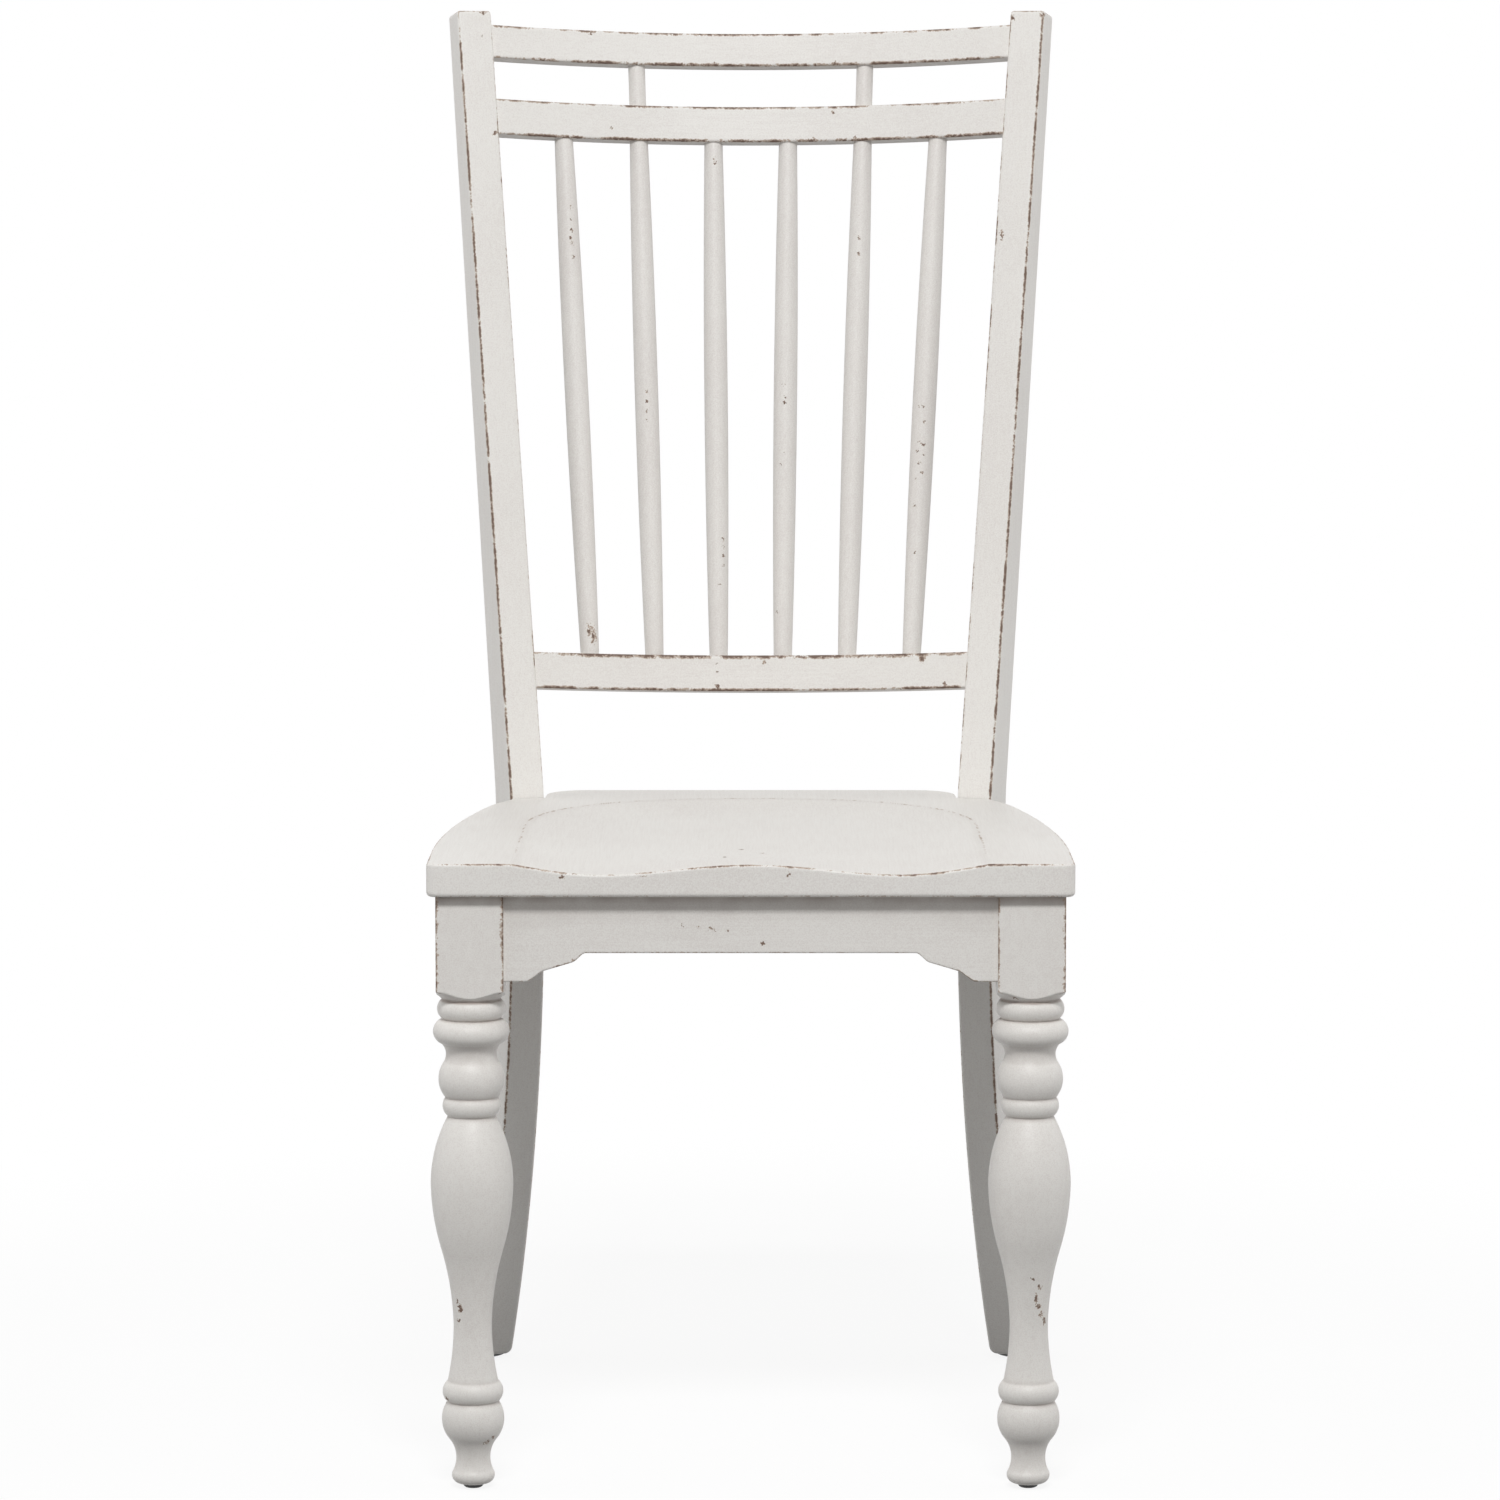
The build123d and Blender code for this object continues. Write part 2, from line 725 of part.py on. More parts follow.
def make_chair():
    chair = {"seat": cut_fasteners(make_seat())}
    for side, word in ((-1, "left"), (1, "right")):
        chair["front_leg_" + word] = cut_fasteners(make_front_leg(side))
        chair["rear_post_" + word] = cut_fasteners(make_rear_post(side))
        chair["side_apron_" + word] = make_side_apron(side)
        chair["corner_block_front_" + word] = make_corner_block(front_block_corners(), side)
        chair["corner_block_rear_" + word] = make_corner_block(rear_block_corners(), side)
        chair["front_glide_" + word] = front_glide(side, 0)
        chair["rear_glide_" + word] = rear_glide(side, 0)
    for name in rail_sizes:
        chair[name] = make_rail(name)
    for number in range(len(spindle_place_shares)):
        chair["spindle_" + str(number + 1)] = make_spindle(number, 0)
    chair["front_apron"] = make_front_apron()
    chair["rear_apron"] = make_rear_apron()
    chair["apron_dowels"] = both_sides([dowel(plane, 0) for plane in dowel_planes()])
    chair["corner_block_screws"] = both_sides(
        [screw(plane, apron_screw_seat, apron_screw_bite) for plane in apron_screw_planes()])
    chair["seat_screws"] = both_sides(
        [screw(plane, seat_screw_seat, seat_screw_bite) for plane in seat_screw_planes()])
    return chair


def write_parts(chair):
    # The origin is on the floor under the middle of the whole chair
    boxes = [solid.bounding_box() for solid in chair.values()]
    middle_y = (min(box.min.Y for box in boxes) + max(box.max.Y for box in boxes)) / 2
    for name, solid in chair.items():
        export_step(Pos(0, -middle_y, 0) * solid, "parts/" + name + ".step")
    print("moved by", round(-middle_y, 3))
    print("width", round(2 * max(box.max.X for box in boxes), 2))
    print("depth", round(max(box.max.Y for box in boxes) - min(box.min.Y for box in boxes), 2))
    print("height", round(max(box.max.Z for box in boxes), 2))


os.makedirs("parts", exist_ok=True)
write_parts(make_chair())
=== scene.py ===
# %% [markdown]
# A painted side chair with a spindle back, finished in Blender.
# The CAD model is loaded as a fixed frame, and it says where everything is. Each painted stick of the chair is
# then made again as a finer mesh in the same place, so that its corners are soft enough to catch the light and
# carry the rubbed paint. One unit in Blender is a metre, X runs across the chair, Y from front to back, Z up.

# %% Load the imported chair
import math

import bpy
import numpy as np
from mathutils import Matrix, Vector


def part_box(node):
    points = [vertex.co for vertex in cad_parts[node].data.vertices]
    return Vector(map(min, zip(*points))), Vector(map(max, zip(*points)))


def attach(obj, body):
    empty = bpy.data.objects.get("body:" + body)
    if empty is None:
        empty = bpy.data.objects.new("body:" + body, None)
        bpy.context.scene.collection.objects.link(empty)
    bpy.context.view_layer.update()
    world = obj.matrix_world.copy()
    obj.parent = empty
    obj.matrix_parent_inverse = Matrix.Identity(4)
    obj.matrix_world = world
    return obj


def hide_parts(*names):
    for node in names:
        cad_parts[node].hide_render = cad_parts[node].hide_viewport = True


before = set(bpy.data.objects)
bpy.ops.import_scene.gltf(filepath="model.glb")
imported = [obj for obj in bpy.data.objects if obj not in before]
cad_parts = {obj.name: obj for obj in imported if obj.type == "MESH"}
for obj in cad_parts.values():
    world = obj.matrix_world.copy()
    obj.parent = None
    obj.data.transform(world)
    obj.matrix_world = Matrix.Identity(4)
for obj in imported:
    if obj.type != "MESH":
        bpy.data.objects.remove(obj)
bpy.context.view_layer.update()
MM = 0.001


# %% Put a named thing into the scene
def set_down(name, data):
    thing = bpy.data.objects.new(name, data)
    bpy.context.scene.collection.objects.link(thing)
    return thing


# %% [markdown]
# The photograph was taken from straight in front and a little above, with a long lens, so upright lines stay
# nearly parallel. A long focal length set far back gives the same drawing. The camera comes first, because
# every later choice is judged through it.

# %% Camera
CAMERA_DISTANCE = 4.754
CAMERA_HEIGHT = 1.02937
CAMERA_TILT = 6.15
camera_data = bpy.data.cameras.new("camera")
camera_data.lens = 149.27
camera_data.sensor_width = 36
camera_data.shift_x = -0.0005
camera = set_down("camera", camera_data)
camera.location = (0, -CAMERA_DISTANCE, CAMERA_HEIGHT)
camera.rotation_euler = (math.radians(90 - CAMERA_TILT), 0, 0)
bpy.context.scene.camera = camera
print("camera", tuple(camera.location))

# %% [markdown]
# The light in the photograph is a large soft lamp in front and above, in a white room. Its sign is the clear
# lower edge of the seat's shadow on the apron. The room is the world, at the end of this script: pale walls
# that light the chair, and white where the camera or a reflection looks straight at them.

# %% Lamp
LAMP_ELEVATION = math.radians(42)
LAMP_DISTANCE = 4.2
LAMP_AIM_HEIGHT = 0.5
lamp_data = bpy.data.lights.new("soft_lamp", "AREA")
lamp_data.shape = "RECTANGLE"
lamp_data.size = 1.6
lamp_data.size_y = 0.66
lamp_data.energy = 106
lamp = set_down("soft_lamp", lamp_data)
lamp.location = (0, -LAMP_DISTANCE * math.cos(LAMP_ELEVATION),
                 LAMP_AIM_HEIGHT + LAMP_DISTANCE * math.sin(LAMP_ELEVATION))
lamp.rotation_euler = (math.pi / 2 - LAMP_ELEVATION, 0, 0)
print("lamp", [round(value, 2) for value in lamp.location])

# %% [markdown]
# A material is a small network of nodes. Written as Python sums it stays readable, so one class wraps a node's
# output and lets plus, minus, times and divide add the Math nodes. Every other node comes from its one method,
# which sets the node's own choices first and then fills or links its inputs.

# %% A wire of a node network
class Wire:
    def __init__(self, tree, socket=None):
        self.tree = tree
        self.socket = socket

    def node(self, kind, sockets=None, output=0, **settings):
        made = self.tree.nodes.new(kind)
        for name, value in settings.items():
            setattr(made, name, value)
        for name, value in (sockets or {}).items():
            if isinstance(value, Wire):
                self.tree.links.new(value.socket, made.inputs[name])
            else:
                made.inputs[name].default_value = value
        return Wire(self.tree, made.outputs[output] if made.outputs else None)

    def math(self, operation, *values):
        return self.node("ShaderNodeMath", dict(enumerate(values)), operation=operation)

    def __add__(self, other):
        return self.math("ADD", self, other)

    def __sub__(self, other):
        return self.math("SUBTRACT", self, other)

    def __rsub__(self, other):
        return self.math("SUBTRACT", other, self)

    def __mul__(self, other):
        return self.math("MULTIPLY", self, other)

    def __truediv__(self, other):
        return self.math("DIVIDE", self, other)

    def __neg__(self):
        return self.math("MULTIPLY", self, -1)

    def larger(self, other):
        return self.math("MAXIMUM", self, other)

    def smaller(self, other):
        return self.math("MINIMUM", self, other)

    def square_root(self):
        return self.math("SQRT", self)

    def size(self):
        return self.math("ABSOLUTE", self)

    def between(self, low, high):
        # 0 below the first value and 1 above the second, with a soft step between them
        return self.node("ShaderNodeMapRange", {"Value": self, "From Min": low, "From Max": high},
                         interpolation_type="SMOOTHSTEP")

    __radd__ = __add__
    __rmul__ = __mul__


# %% Small helpers for every material
def new_material(name):
    material = bpy.data.materials.new(name)
    material.use_nodes = True
    material.node_tree.nodes.clear()
    return material, Wire(material.node_tree)


def own_place(wire):
    return wire.node("ShaderNodeTexCoord", output="Object")


def blend_colour(wire, amount, first, second):
    # The Mix node keeps its colour sockets at places 6 and 7, and its colour result at 2
    return wire.node("ShaderNodeMix", {0: amount, 6: first, 7: second}, 2, data_type="RGBA")


def noise(wire, place, scale, detail=2.0, roughness=0.5):
    return wire.node("ShaderNodeTexNoise", {
        "Vector": place, "Scale": scale, "Detail": detail, "Roughness": roughness}, "Fac")


def stretched(wire, place, stretch):
    return wire.node("ShaderNodeMapping", {"Vector": place, "Scale": stretch})


def attribute(wire, name):
    return wire.node("ShaderNodeAttribute", output="Fac", attribute_name=name)


def vector_maths(wire, operation, *values):
    result = "Value" if operation == "LENGTH" else "Vector"
    return wire.node("ShaderNodeVectorMath", dict(enumerate(values)), result, operation=operation)


def uneven(wire, height, distance, strength):
    return wire.node("ShaderNodeBump", {"Height": height, "Distance": distance, "Strength": strength})


def looked_at(wire):
    # 1 where the camera or a reflection looks straight at the place, else 0
    camera_ray = wire.node("ShaderNodeLightPath", output="Is Camera Ray")
    return camera_ray.larger(wire.node("ShaderNodeLightPath", output="Is Glossy Ray"))


def finish_surface(material, wire, sockets):
    wire.node("ShaderNodeOutputMaterial", {"Surface": wire.node("ShaderNodeBsdfPrincipled", sockets)})
    return material


# %% [markdown]
# The finish is satin paint, an antique white over brown wood, brushed along the grain. It is rubbed through on
# the corners, first to a thin tan and then to bare wood. Each mesh carries a number called rub, about 1 on a
# worn corner and 0 a few millimetres away, and a second number that darkens the paint towards a pinkish brown:
# dirt that settles in grooves, and painted shade under the seat's edge and in the turnings' hollows. The shader
# breaks the rub up with noises of several sizes, so that the worn line is ragged. Chips are single places,
# listed one by one.

# %% Colours of the paint and of the wood under it
PAINT = (0.800, 0.782, 0.748, 1)
PAINT_DULL = (0.690, 0.652, 0.622, 1)
PAINT_THIN = (0.440, 0.345, 0.275, 1)
BARE_WOOD = (0.165, 0.110, 0.085, 1)
# The darkening colour: dirt, and also painted shade under the seat's edge and in the turnings' hollows
SOIL_AND_SHADE = (0.400, 0.345, 0.315, 1)

# %% Chips: 1 in the middle of each small oval place on the surface, 0 at its edge and less beyond
RUFFLE_PUSH = 7 * MM
RUFFLE_SCALE = 480


def ruffled(wire, place):
    # A noise pushes the place about by up to a millimetre, which makes a smooth outline ragged
    push = wire.node("ShaderNodeTexNoise", {"Vector": place, "Scale": RUFFLE_SCALE, "Detail": 2.0}, "Color")
    push = vector_maths(wire, "SUBTRACT", push, (0.5, 0.5, 0.5))
    return vector_maths(wire, "MULTIPLY_ADD", push, (RUFFLE_PUSH, RUFFLE_PUSH, RUFFLE_PUSH), place)


def chip_field(wire, place, chips):
    # A chip is six numbers in millimetres: its middle and then its reach, each across, back and up
    nearest = None
    for chip in chips:
        scale = [1 / (value * MM) for value in chip[3:]]
        shift = [-value * MM * factor for value, factor in zip(chip[:3], scale)]
        distance = vector_maths(wire, "LENGTH", vector_maths(wire, "MULTIPLY_ADD", place, scale, shift))
        nearest = distance if nearest is None else nearest.smaller(distance)
    return 1 - nearest


# %% The worn paint: a noise is its scale, in waves to the metre, with its detail and roughness
NOISES = {"fine": (720, 3.0, 0.6), "flakes": (300,), "middling": (70,), "broad": (9,), "specks": (1150, 1.0)}
BRUSH_NOISE = (620, 3.0, 0.6)
CHIP_STRENGTH = 1.7
THIN_WEAR = (0.34, 0.46)
BARE_WEAR = (0.54, 0.95)
SATIN = 0.47
BUMP_HEIGHT = 0.00022


def worn_paint(name, grain, chips=(), dullness=0.16):
    material, wire = new_material(name)
    place = own_place(wire)
    fine, flakes, middling, broad, specks = (noise(wire, place, *grade) for grade in NOISES.values())
    brush = noise(wire, stretched(wire, place, grain), *BRUSH_NOISE)
    rub = attribute(wire, "rub")
    if chips:
        rub = rub.larger(chip_field(wire, ruffled(wire, place), chips) * CHIP_STRENGTH)
    wear = rub * (0.70 + (fine - 0.5) * 1.7 + flakes.between(0.48, 0.62) * 0.50 + (middling - 0.5) * 2.0)
    thin = wear.between(*THIN_WEAR)
    bare = wear.between(*BARE_WEAR)
    # Darkening read from the mesh: dirt in grooves, and painted shade under the seat's edge and in hollows
    soil_and_shade = attribute(wire, "soil_and_shade") * (0.3 + middling * 1.4)
    dull = dullness + broad.between(0.35, 0.75) * 0.25 + (brush - 0.5) * 0.9 + (specks - 0.5) * 2.0
    colour = blend_colour(wire, dull, PAINT, PAINT_DULL)
    colour = blend_colour(wire, soil_and_shade, colour, SOIL_AND_SHADE)
    colour = blend_colour(wire, thin * 0.9, colour, PAINT_THIN)
    colour = blend_colour(wire, bare, colour, BARE_WOOD)
    relief = brush * 0.4 + middling * 0.5 + fine * 0.06 - bare * 0.8
    return finish_surface(material, wire, {
        "Base Color": colour,
        "Roughness": SATIN + (brush - 0.5) * 0.2 + bare * 0.2,
        "Normal": uneven(wire, relief, BUMP_HEIGHT, 0.5),
        "Specular IOR Level": 0.40,
    })


# %% How strongly a corner is rubbed along its length: a base level, and runs (from, to, level) in millimetres
def rub_along(where, base, runs=()):
    level = np.full(np.shape(where), float(base))
    for start, end, strength in runs:
        inside = np.clip(np.minimum(where - start, end - where) / 3 + 0.5, 0, 1)
        level = level + np.maximum(strength - level, 0) * inside
    return level


# %% 1 at a corner, falling evenly to 0 at some width from it
def fading(gap, width):
    return np.clip(1 - gap / width, 0, 1)


# %% Which way the brush marks run: the noise is stretched most where the number is least
GRAIN_UPRIGHT = (1, 1, 0.03)
GRAIN_ACROSS = (0.03, 1, 1)
GRAIN_BACK = (1, 0.03, 1)
GRAIN_TURNED = (0.5, 0.5, 0.3)

# %% [markdown]
# Most sticks of the chair are lofts: a row of rings, each with the same number of points, joined by quads. One
# helper joins the rings and closes both ends, and a second checks which way the faces look, because a mesh that
# is inside out shades wrongly and exports wrongly.

# %% Join rings into a closed skin
def loft(rings):
    rings = np.asarray(rings, float)
    count, around = rings.shape[:2]
    index = np.arange(count * around).reshape(count, around)
    low, high = index[:-1], index[1:]
    quads = np.stack([low, np.roll(low, -1, 1), np.roll(high, -1, 1), high], -1).reshape(-1, 4)
    first, last = index[0], index[-1]
    middle = count * around
    ends = np.vstack([
        np.column_stack([np.full(around, middle), np.roll(first, -1), first]),
        np.column_stack([np.full(around, middle + 1), last, np.roll(last, -1)])])
    return np.vstack([rings.reshape(-1, 3), rings[0].mean(0), rings[-1].mean(0)]), [quads, ends]


# %% The volume that the faces enclose: it comes out positive when they all look outwards
def enclosed(points, faces):
    total = 0.0
    for group in faces:
        for step in range(1, group.shape[1] - 1):
            a, b, c = points[group[:, 0]], points[group[:, step]], points[group[:, step + 1]]
            total += np.einsum("ij,ij->", a, np.cross(b, c)) / 6
    return total


# %% Make a named piece of the chair from points in millimetres
def painted_piece(name, points, faces, rub, soil_and_shade, material, nodes):
    if enclosed(points, faces) < 0:
        faces = [group[:, ::-1] for group in faces]
    mesh = bpy.data.meshes.new(name)
    mesh.from_pydata((points * MM).tolist(), [], [face for group in faces for face in group.tolist()])
    for label, values in (("rub", rub), ("soil_and_shade", soil_and_shade)):
        full = np.zeros(len(points))
        full[:np.size(values)] = np.ravel(values)
        mesh.attributes.new(label, "FLOAT", "POINT").data.foreach_set("value", full)
    mesh.shade_smooth()
    mesh.materials.append(material)
    piece = set_down(name, mesh)
    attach(piece, "root")
    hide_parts(*nodes)
    print(name, "triangles", sum(len(group) * (group.shape[1] - 2) for group in faces),
          "litres", round(abs(enclosed(points, faces)) / 1e6, 3))


def lofted_piece(name, rings, rub, soil_and_shade, material, nodes):
    points, faces = loft(rings)
    painted_piece(name, points, faces, rub, soil_and_shade, material, nodes)


# %% [markdown]
# The seat and the posts share a few lengths. They are the chair's real sizes in millimetres, and the place of
# the seat in the frame says how far the whole drawing is moved along Y.

# %% Shared sizes
SIDES = ((-1, "left"), (1, "right"))
SEAT_TOP = 466.0
SEAT_BOTTOM = 441.5
HALF_DEPTH = 276.85
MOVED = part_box("seat")[0].y / MM + HALF_DEPTH
FRONT_Y = MOVED - HALF_DEPTH
TURN = math.radians(21.4)
RAKE = math.radians(11.08)
POST_X = 162.4
POST_TOP = 1084.4
POST_WIDTH = 28.6
POST_DEPTH_AT_SEAT = 38.6
POST_DEPTH_AT_TOP = 23.8
GLIDE_THICKNESS = 3.5
POST_TOP_BACK = (POST_TOP - SEAT_TOP) * math.tan(RAKE)
POST_TOP_DEPTH = POST_DEPTH_AT_TOP * math.cos(RAKE)
POST_Y = HALF_DEPTH - (POST_TOP_BACK + POST_TOP_DEPTH) * math.cos(TURN) + MOVED
BACK_LEAN = math.atan(math.tan(RAKE) * math.cos(TURN))
APRON_BOTTOM = 399.0
BLOCK_HALF = 49.3 / 2
BLOCK_SETBACK = 9.3
LEG_X, LEG_Y = 204.05, FRONT_Y + BLOCK_SETBACK + BLOCK_HALF
print("post corner y", round(POST_Y, 2), "leg y", round(LEG_Y, 2))

# %% [markdown]
# Each rear post is one bent stick from the floor to the top of the back, with softened corners and a foot whose
# sides are rounded off towards the glide. Its outline in its own upright plane is two curves, front and back,
# so rings between those curves from foot to top make the stick, and the ring's corners stay where the rub
# belongs. A swept curve would need the same rings, but would not taper so freely.

# %% Outline of a stick across its length, with rounded corners
NEAR_CORNER = (1.0, 2.6, 5.0)


def eased_section(width, depth, radius, corner_steps=6):
    # Each place is (across, back); gap is its distance along the skin from the nearest corner's middle
    places, gaps, corners = [], [], []
    half_arc = radius * math.pi / 4
    for number, (cx, cy) in enumerate(((0, 0), (1, 0), (1, 1), (0, 1))):
        centre = np.array([radius + cx * (width - 2 * radius), radius + cy * (depth - 2 * radius)])
        start = math.radians(180 + 90 * number)
        for step in range(corner_steps + 1):
            angle = start + math.pi / 2 * step / corner_steps
            places.append(centre + radius * np.array([math.cos(angle), math.sin(angle)]))
            gaps.append(abs(step / corner_steps - 0.5) * 2 * half_arc)
            corners.append(number)
        side = (width if number % 2 == 0 else depth) - 2 * radius
        along = np.array([(1, 0), (0, 1), (-1, 0), (0, -1)][number], float)
        marks = [value for value in NEAR_CORNER if value < side / 2 - 0.5]
        marks = marks + [side / 2] + [side - value for value in reversed(marks)]
        end = places[-1]
        for mark in marks:
            places.append(end + along * mark)
            gaps.append(half_arc + min(mark, side - mark))
            corners.append(number if mark <= side / 2 else (number + 1) % 4)
    return np.array(places), np.array(gaps), np.array(corners)


# %% The post's front and back curves: how far back they are at a height
BEND_RADIUS = 120.0
FRONT_KICK, BACK_KICK = 84.4, 118.4


def raked(z, start, rate):
    half = math.atan(rate) / 2
    low = SEAT_TOP - BEND_RADIUS * math.tan(half)
    high = SEAT_TOP + BEND_RADIUS * math.tan(half) * math.cos(2 * half)
    inside = np.clip(z - low, 0, high - low)
    arc = BEND_RADIUS - np.sqrt(BEND_RADIUS ** 2 - inside ** 2)
    return start + np.where(z > high, (z - SEAT_TOP) * rate, arc)


def kicked(z, start, foot):
    drop = APRON_BOTTOM - GLIDE_THICKNESS
    bend = ((foot - start) ** 2 + drop ** 2) / (2 * (foot - start))
    return np.where(z < APRON_BOTTOM, bend - np.sqrt(bend ** 2 - np.clip(APRON_BOTTOM - z, 0, drop) ** 2), 0)


def post_front(z):
    return raked(z, 0, math.tan(RAKE)) + kicked(z, 0, FRONT_KICK)


def post_back(z):
    start = POST_DEPTH_AT_SEAT
    rise = POST_TOP - POST_TOP_DEPTH * math.tan(RAKE) - SEAT_TOP
    top_rate = (POST_TOP_BACK + POST_TOP_DEPTH - start) / rise
    return raked(z, start, top_rate) + kicked(z, start, BACK_KICK)


# %% A level read off a short list of (place, level)
def level_at(z, levels):
    heights, values = zip(*sorted(levels))
    return np.interp(z, heights, values)


# %% How far a rounded end has drawn in, at a distance from the end
def drawn_in(gap, radius):
    return radius - math.sqrt(radius ** 2 - max(radius - gap, 0) ** 2)


# %% One post as rings, with its rub; the foot's sides are rounded more than its front and back
FOOT_SIDE, FOOT_FRONT, TOP_ROUND, POST_CORNER = 6.0, 3.0, 2.6, 3.0
TILT_FROM, TILT_OVER = 520, 480
POST_RUB_WIDTH = 1.9


def post_heights():
    foot = GLIDE_THICKNESS
    low, high = foot + FOOT_SIDE + 1, POST_TOP - TOP_ROUND - 1
    turns = [math.pi / 2 * step / 9 for step in range(10)]
    straight = [z for z in np.linspace(foot, POST_TOP, 541) if low < z < high]
    return ([foot + FOOT_SIDE * (1 - math.cos(turn)) for turn in turns] + straight
            + [POST_TOP - TOP_ROUND * (1 - math.sin(turn)) for turn in turns[::2] + turns[-1:]])


def post_rings(side, levels):
    rings, rub = [], []
    for z_front in post_heights():
        front, back = float(post_front(z_front)), float(post_back(z_front))
        inset = drawn_in(POST_TOP - z_front, TOP_ROUND)
        narrowed = inset + drawn_in(z_front - GLIDE_THICKNESS, FOOT_SIDE)
        shortened = inset + drawn_in(z_front - GLIDE_THICKNESS, FOOT_FRONT)
        places, gaps, corners = eased_section(
            POST_WIDTH - 2 * narrowed, back - front - 2 * shortened, max(POST_CORNER - shortened, 0.8))
        across, deep = places[:, 0] + narrowed, places[:, 1] + shortened
        tilt = math.tan(RAKE) * np.clip((z_front - TILT_FROM) / TILT_OVER, 0, 1)
        z = z_front - tilt * deep
        share = deep / (back - front)
        s = post_front(z) * (1 - share) + post_back(z) * share
        x = side * (POST_X + s * math.sin(TURN) + across * math.cos(TURN))
        y = POST_Y + s * math.cos(TURN) - across * math.sin(TURN)
        rings.append(np.stack([x, y, z], -1))
        level = np.array([float(rub_along(z_front, *runs)) for runs in levels])[corners]
        worn = level * fading(gaps, POST_RUB_WIDTH)
        if inset > 0:
            worn = np.maximum(worn, 0.95 * math.sin(math.pi * inset / TOP_ROUND) * (0.4 + 0.6 * level))
        rub.append(worn)
    return np.array(rings), np.array(rub)


# %% Posts: corner 0 is inner front, 1 outer front, 2 outer back, 3 inner back
POST_RUB = {
    "left": [
        (0.40, [(564, 598, 0.85), (868, 893, 0.75), (894, 899, 1.0), (946, 954, 0.8), (978, 1006, 0.8)]),
        (0.50, [(60, 441, 1.05), (441, 490, 1.4), (490, 545, 1.05), (545, 660, 1.3), (640, 900, 1.2),
                (895, 912, 1.3), (905, 1060, 1.12), (985, 996, 1.25)]),
        (0.50, [(200, 300, 0.7), (600, 780, 0.75)]),
        (0.45, [(500, 560, 0.75), (900, 990, 0.7)]),
    ],
    "right": [
        (0.40, [(470, 500, 0.8), (506, 543, 0.85), (557, 572, 0.75), (587, 608, 0.8), (627, 649, 0.9),
                (775, 852, 0.95), (877, 884, 0.85), (900, 921, 1.2), (933, 937, 0.9), (957, 969, 0.8),
                (988, 1007, 0.85), (1015, 1036, 0.8), (1056, 1076, 0.85)]),
        (0.60, [(60, 441, 1.1), (441, 490, 1.35), (490, 560, 1.25), (560, 650, 1.3), (640, 1078, 1.15),
                (832, 850, 1.15)]),
        (0.50, [(150, 260, 0.7), (640, 800, 0.75)]),
        (0.45, [(520, 600, 0.75), (870, 960, 0.7)]),
    ],
}
POST_CHIPS = {
    "left": [(-203, 218, 987, 2.6, 8, 3.2), (-213, 230, 1083, 5, 9, 2.6), (-197, 226, 1083.5, 11, 14, 2.2),
             (-213.7, 229.7, 1064, 1.2, 8, 1.2)],
    "right": [(208.5, 235, 1078.5, 2.2, 8, 3.2), (232.4, 226.7, 1081, 3, 6, 2.4),
              (199.5, 202, 906, 1.6, 8, 6)],
}
for side, word in SIDES:
    rings, rub = post_rings(side, POST_RUB[word])
    lofted_piece("post_" + word, rings, rub, 0 * rub,
                 worn_paint("paint_post_" + word, GRAIN_UPRIGHT, POST_CHIPS[word]), ["rear_post_" + word])

# %% [markdown]
# The seat is one slab, hollowed like a saddle, with two posts let into its back corners. Its outline is lines
# and arcs, each arc leaving the last line smoothly. A grid of square rings is stretched from the middle to that
# outline and set to the height of the hollow, which gives even faces and no pole of thin triangles.

# %% Points along an arc that leaves a place in a heading and ends at another place
def arc_points(start, heading, end, count):
    start, heading, end = (np.array(value, float) for value in (start, heading, end))
    heading = heading / np.linalg.norm(heading)
    chord = end - start
    normal = np.array([-heading[1], heading[0]])
    lean = chord @ normal
    if abs(lean) < 1e-6:
        return start + np.linspace(0, 1, count)[:, None] * chord, heading
    radius = chord @ chord / (2 * lean)
    centre = start + normal * radius
    first = math.atan2(*(start - centre)[::-1])
    last = math.atan2(*(end - centre)[::-1])
    sweep = (last - first) % math.tau if radius > 0 else -((first - last) % math.tau)
    angles = first + sweep * np.linspace(0, 1, count)
    points = centre + abs(radius) * np.stack([np.cos(angles), np.sin(angles)], -1)
    return points, np.array([math.cos(sweep) * heading[0] - math.sin(sweep) * heading[1],
                             math.sin(sweep) * heading[0] + math.cos(sweep) * heading[1]])


# %% Space points evenly along a chain of points
def respaced(chain, count):
    chain = np.asarray(chain, float)
    steps = np.linalg.norm(np.diff(chain, axis=0), axis=1)
    chain = chain[np.concatenate([[True], steps > 1e-9])]
    length = np.concatenate([[0], np.cumsum(np.linalg.norm(np.diff(chain, axis=0), axis=1))])
    wanted = np.linspace(0, length[-1], count + 1)
    return np.stack([np.interp(wanted, length, chain[:, axis]) for axis in (0, 1)], -1)


# %% Right half of the seat's outline, in four runs that start and end at its real corners
SEAT_HALF, SEAT_CORNER = 235.0, 8.0
SIDE_ARC_FROM = 75
SHOULDER_IN, SHOULDER_FORWARD = 29, 61
TONGUE_OVERHANG, TONGUE_CORNER = 18, 32
NOTCH_ROOM, HEEL_SHARE = 0.15, 0.94


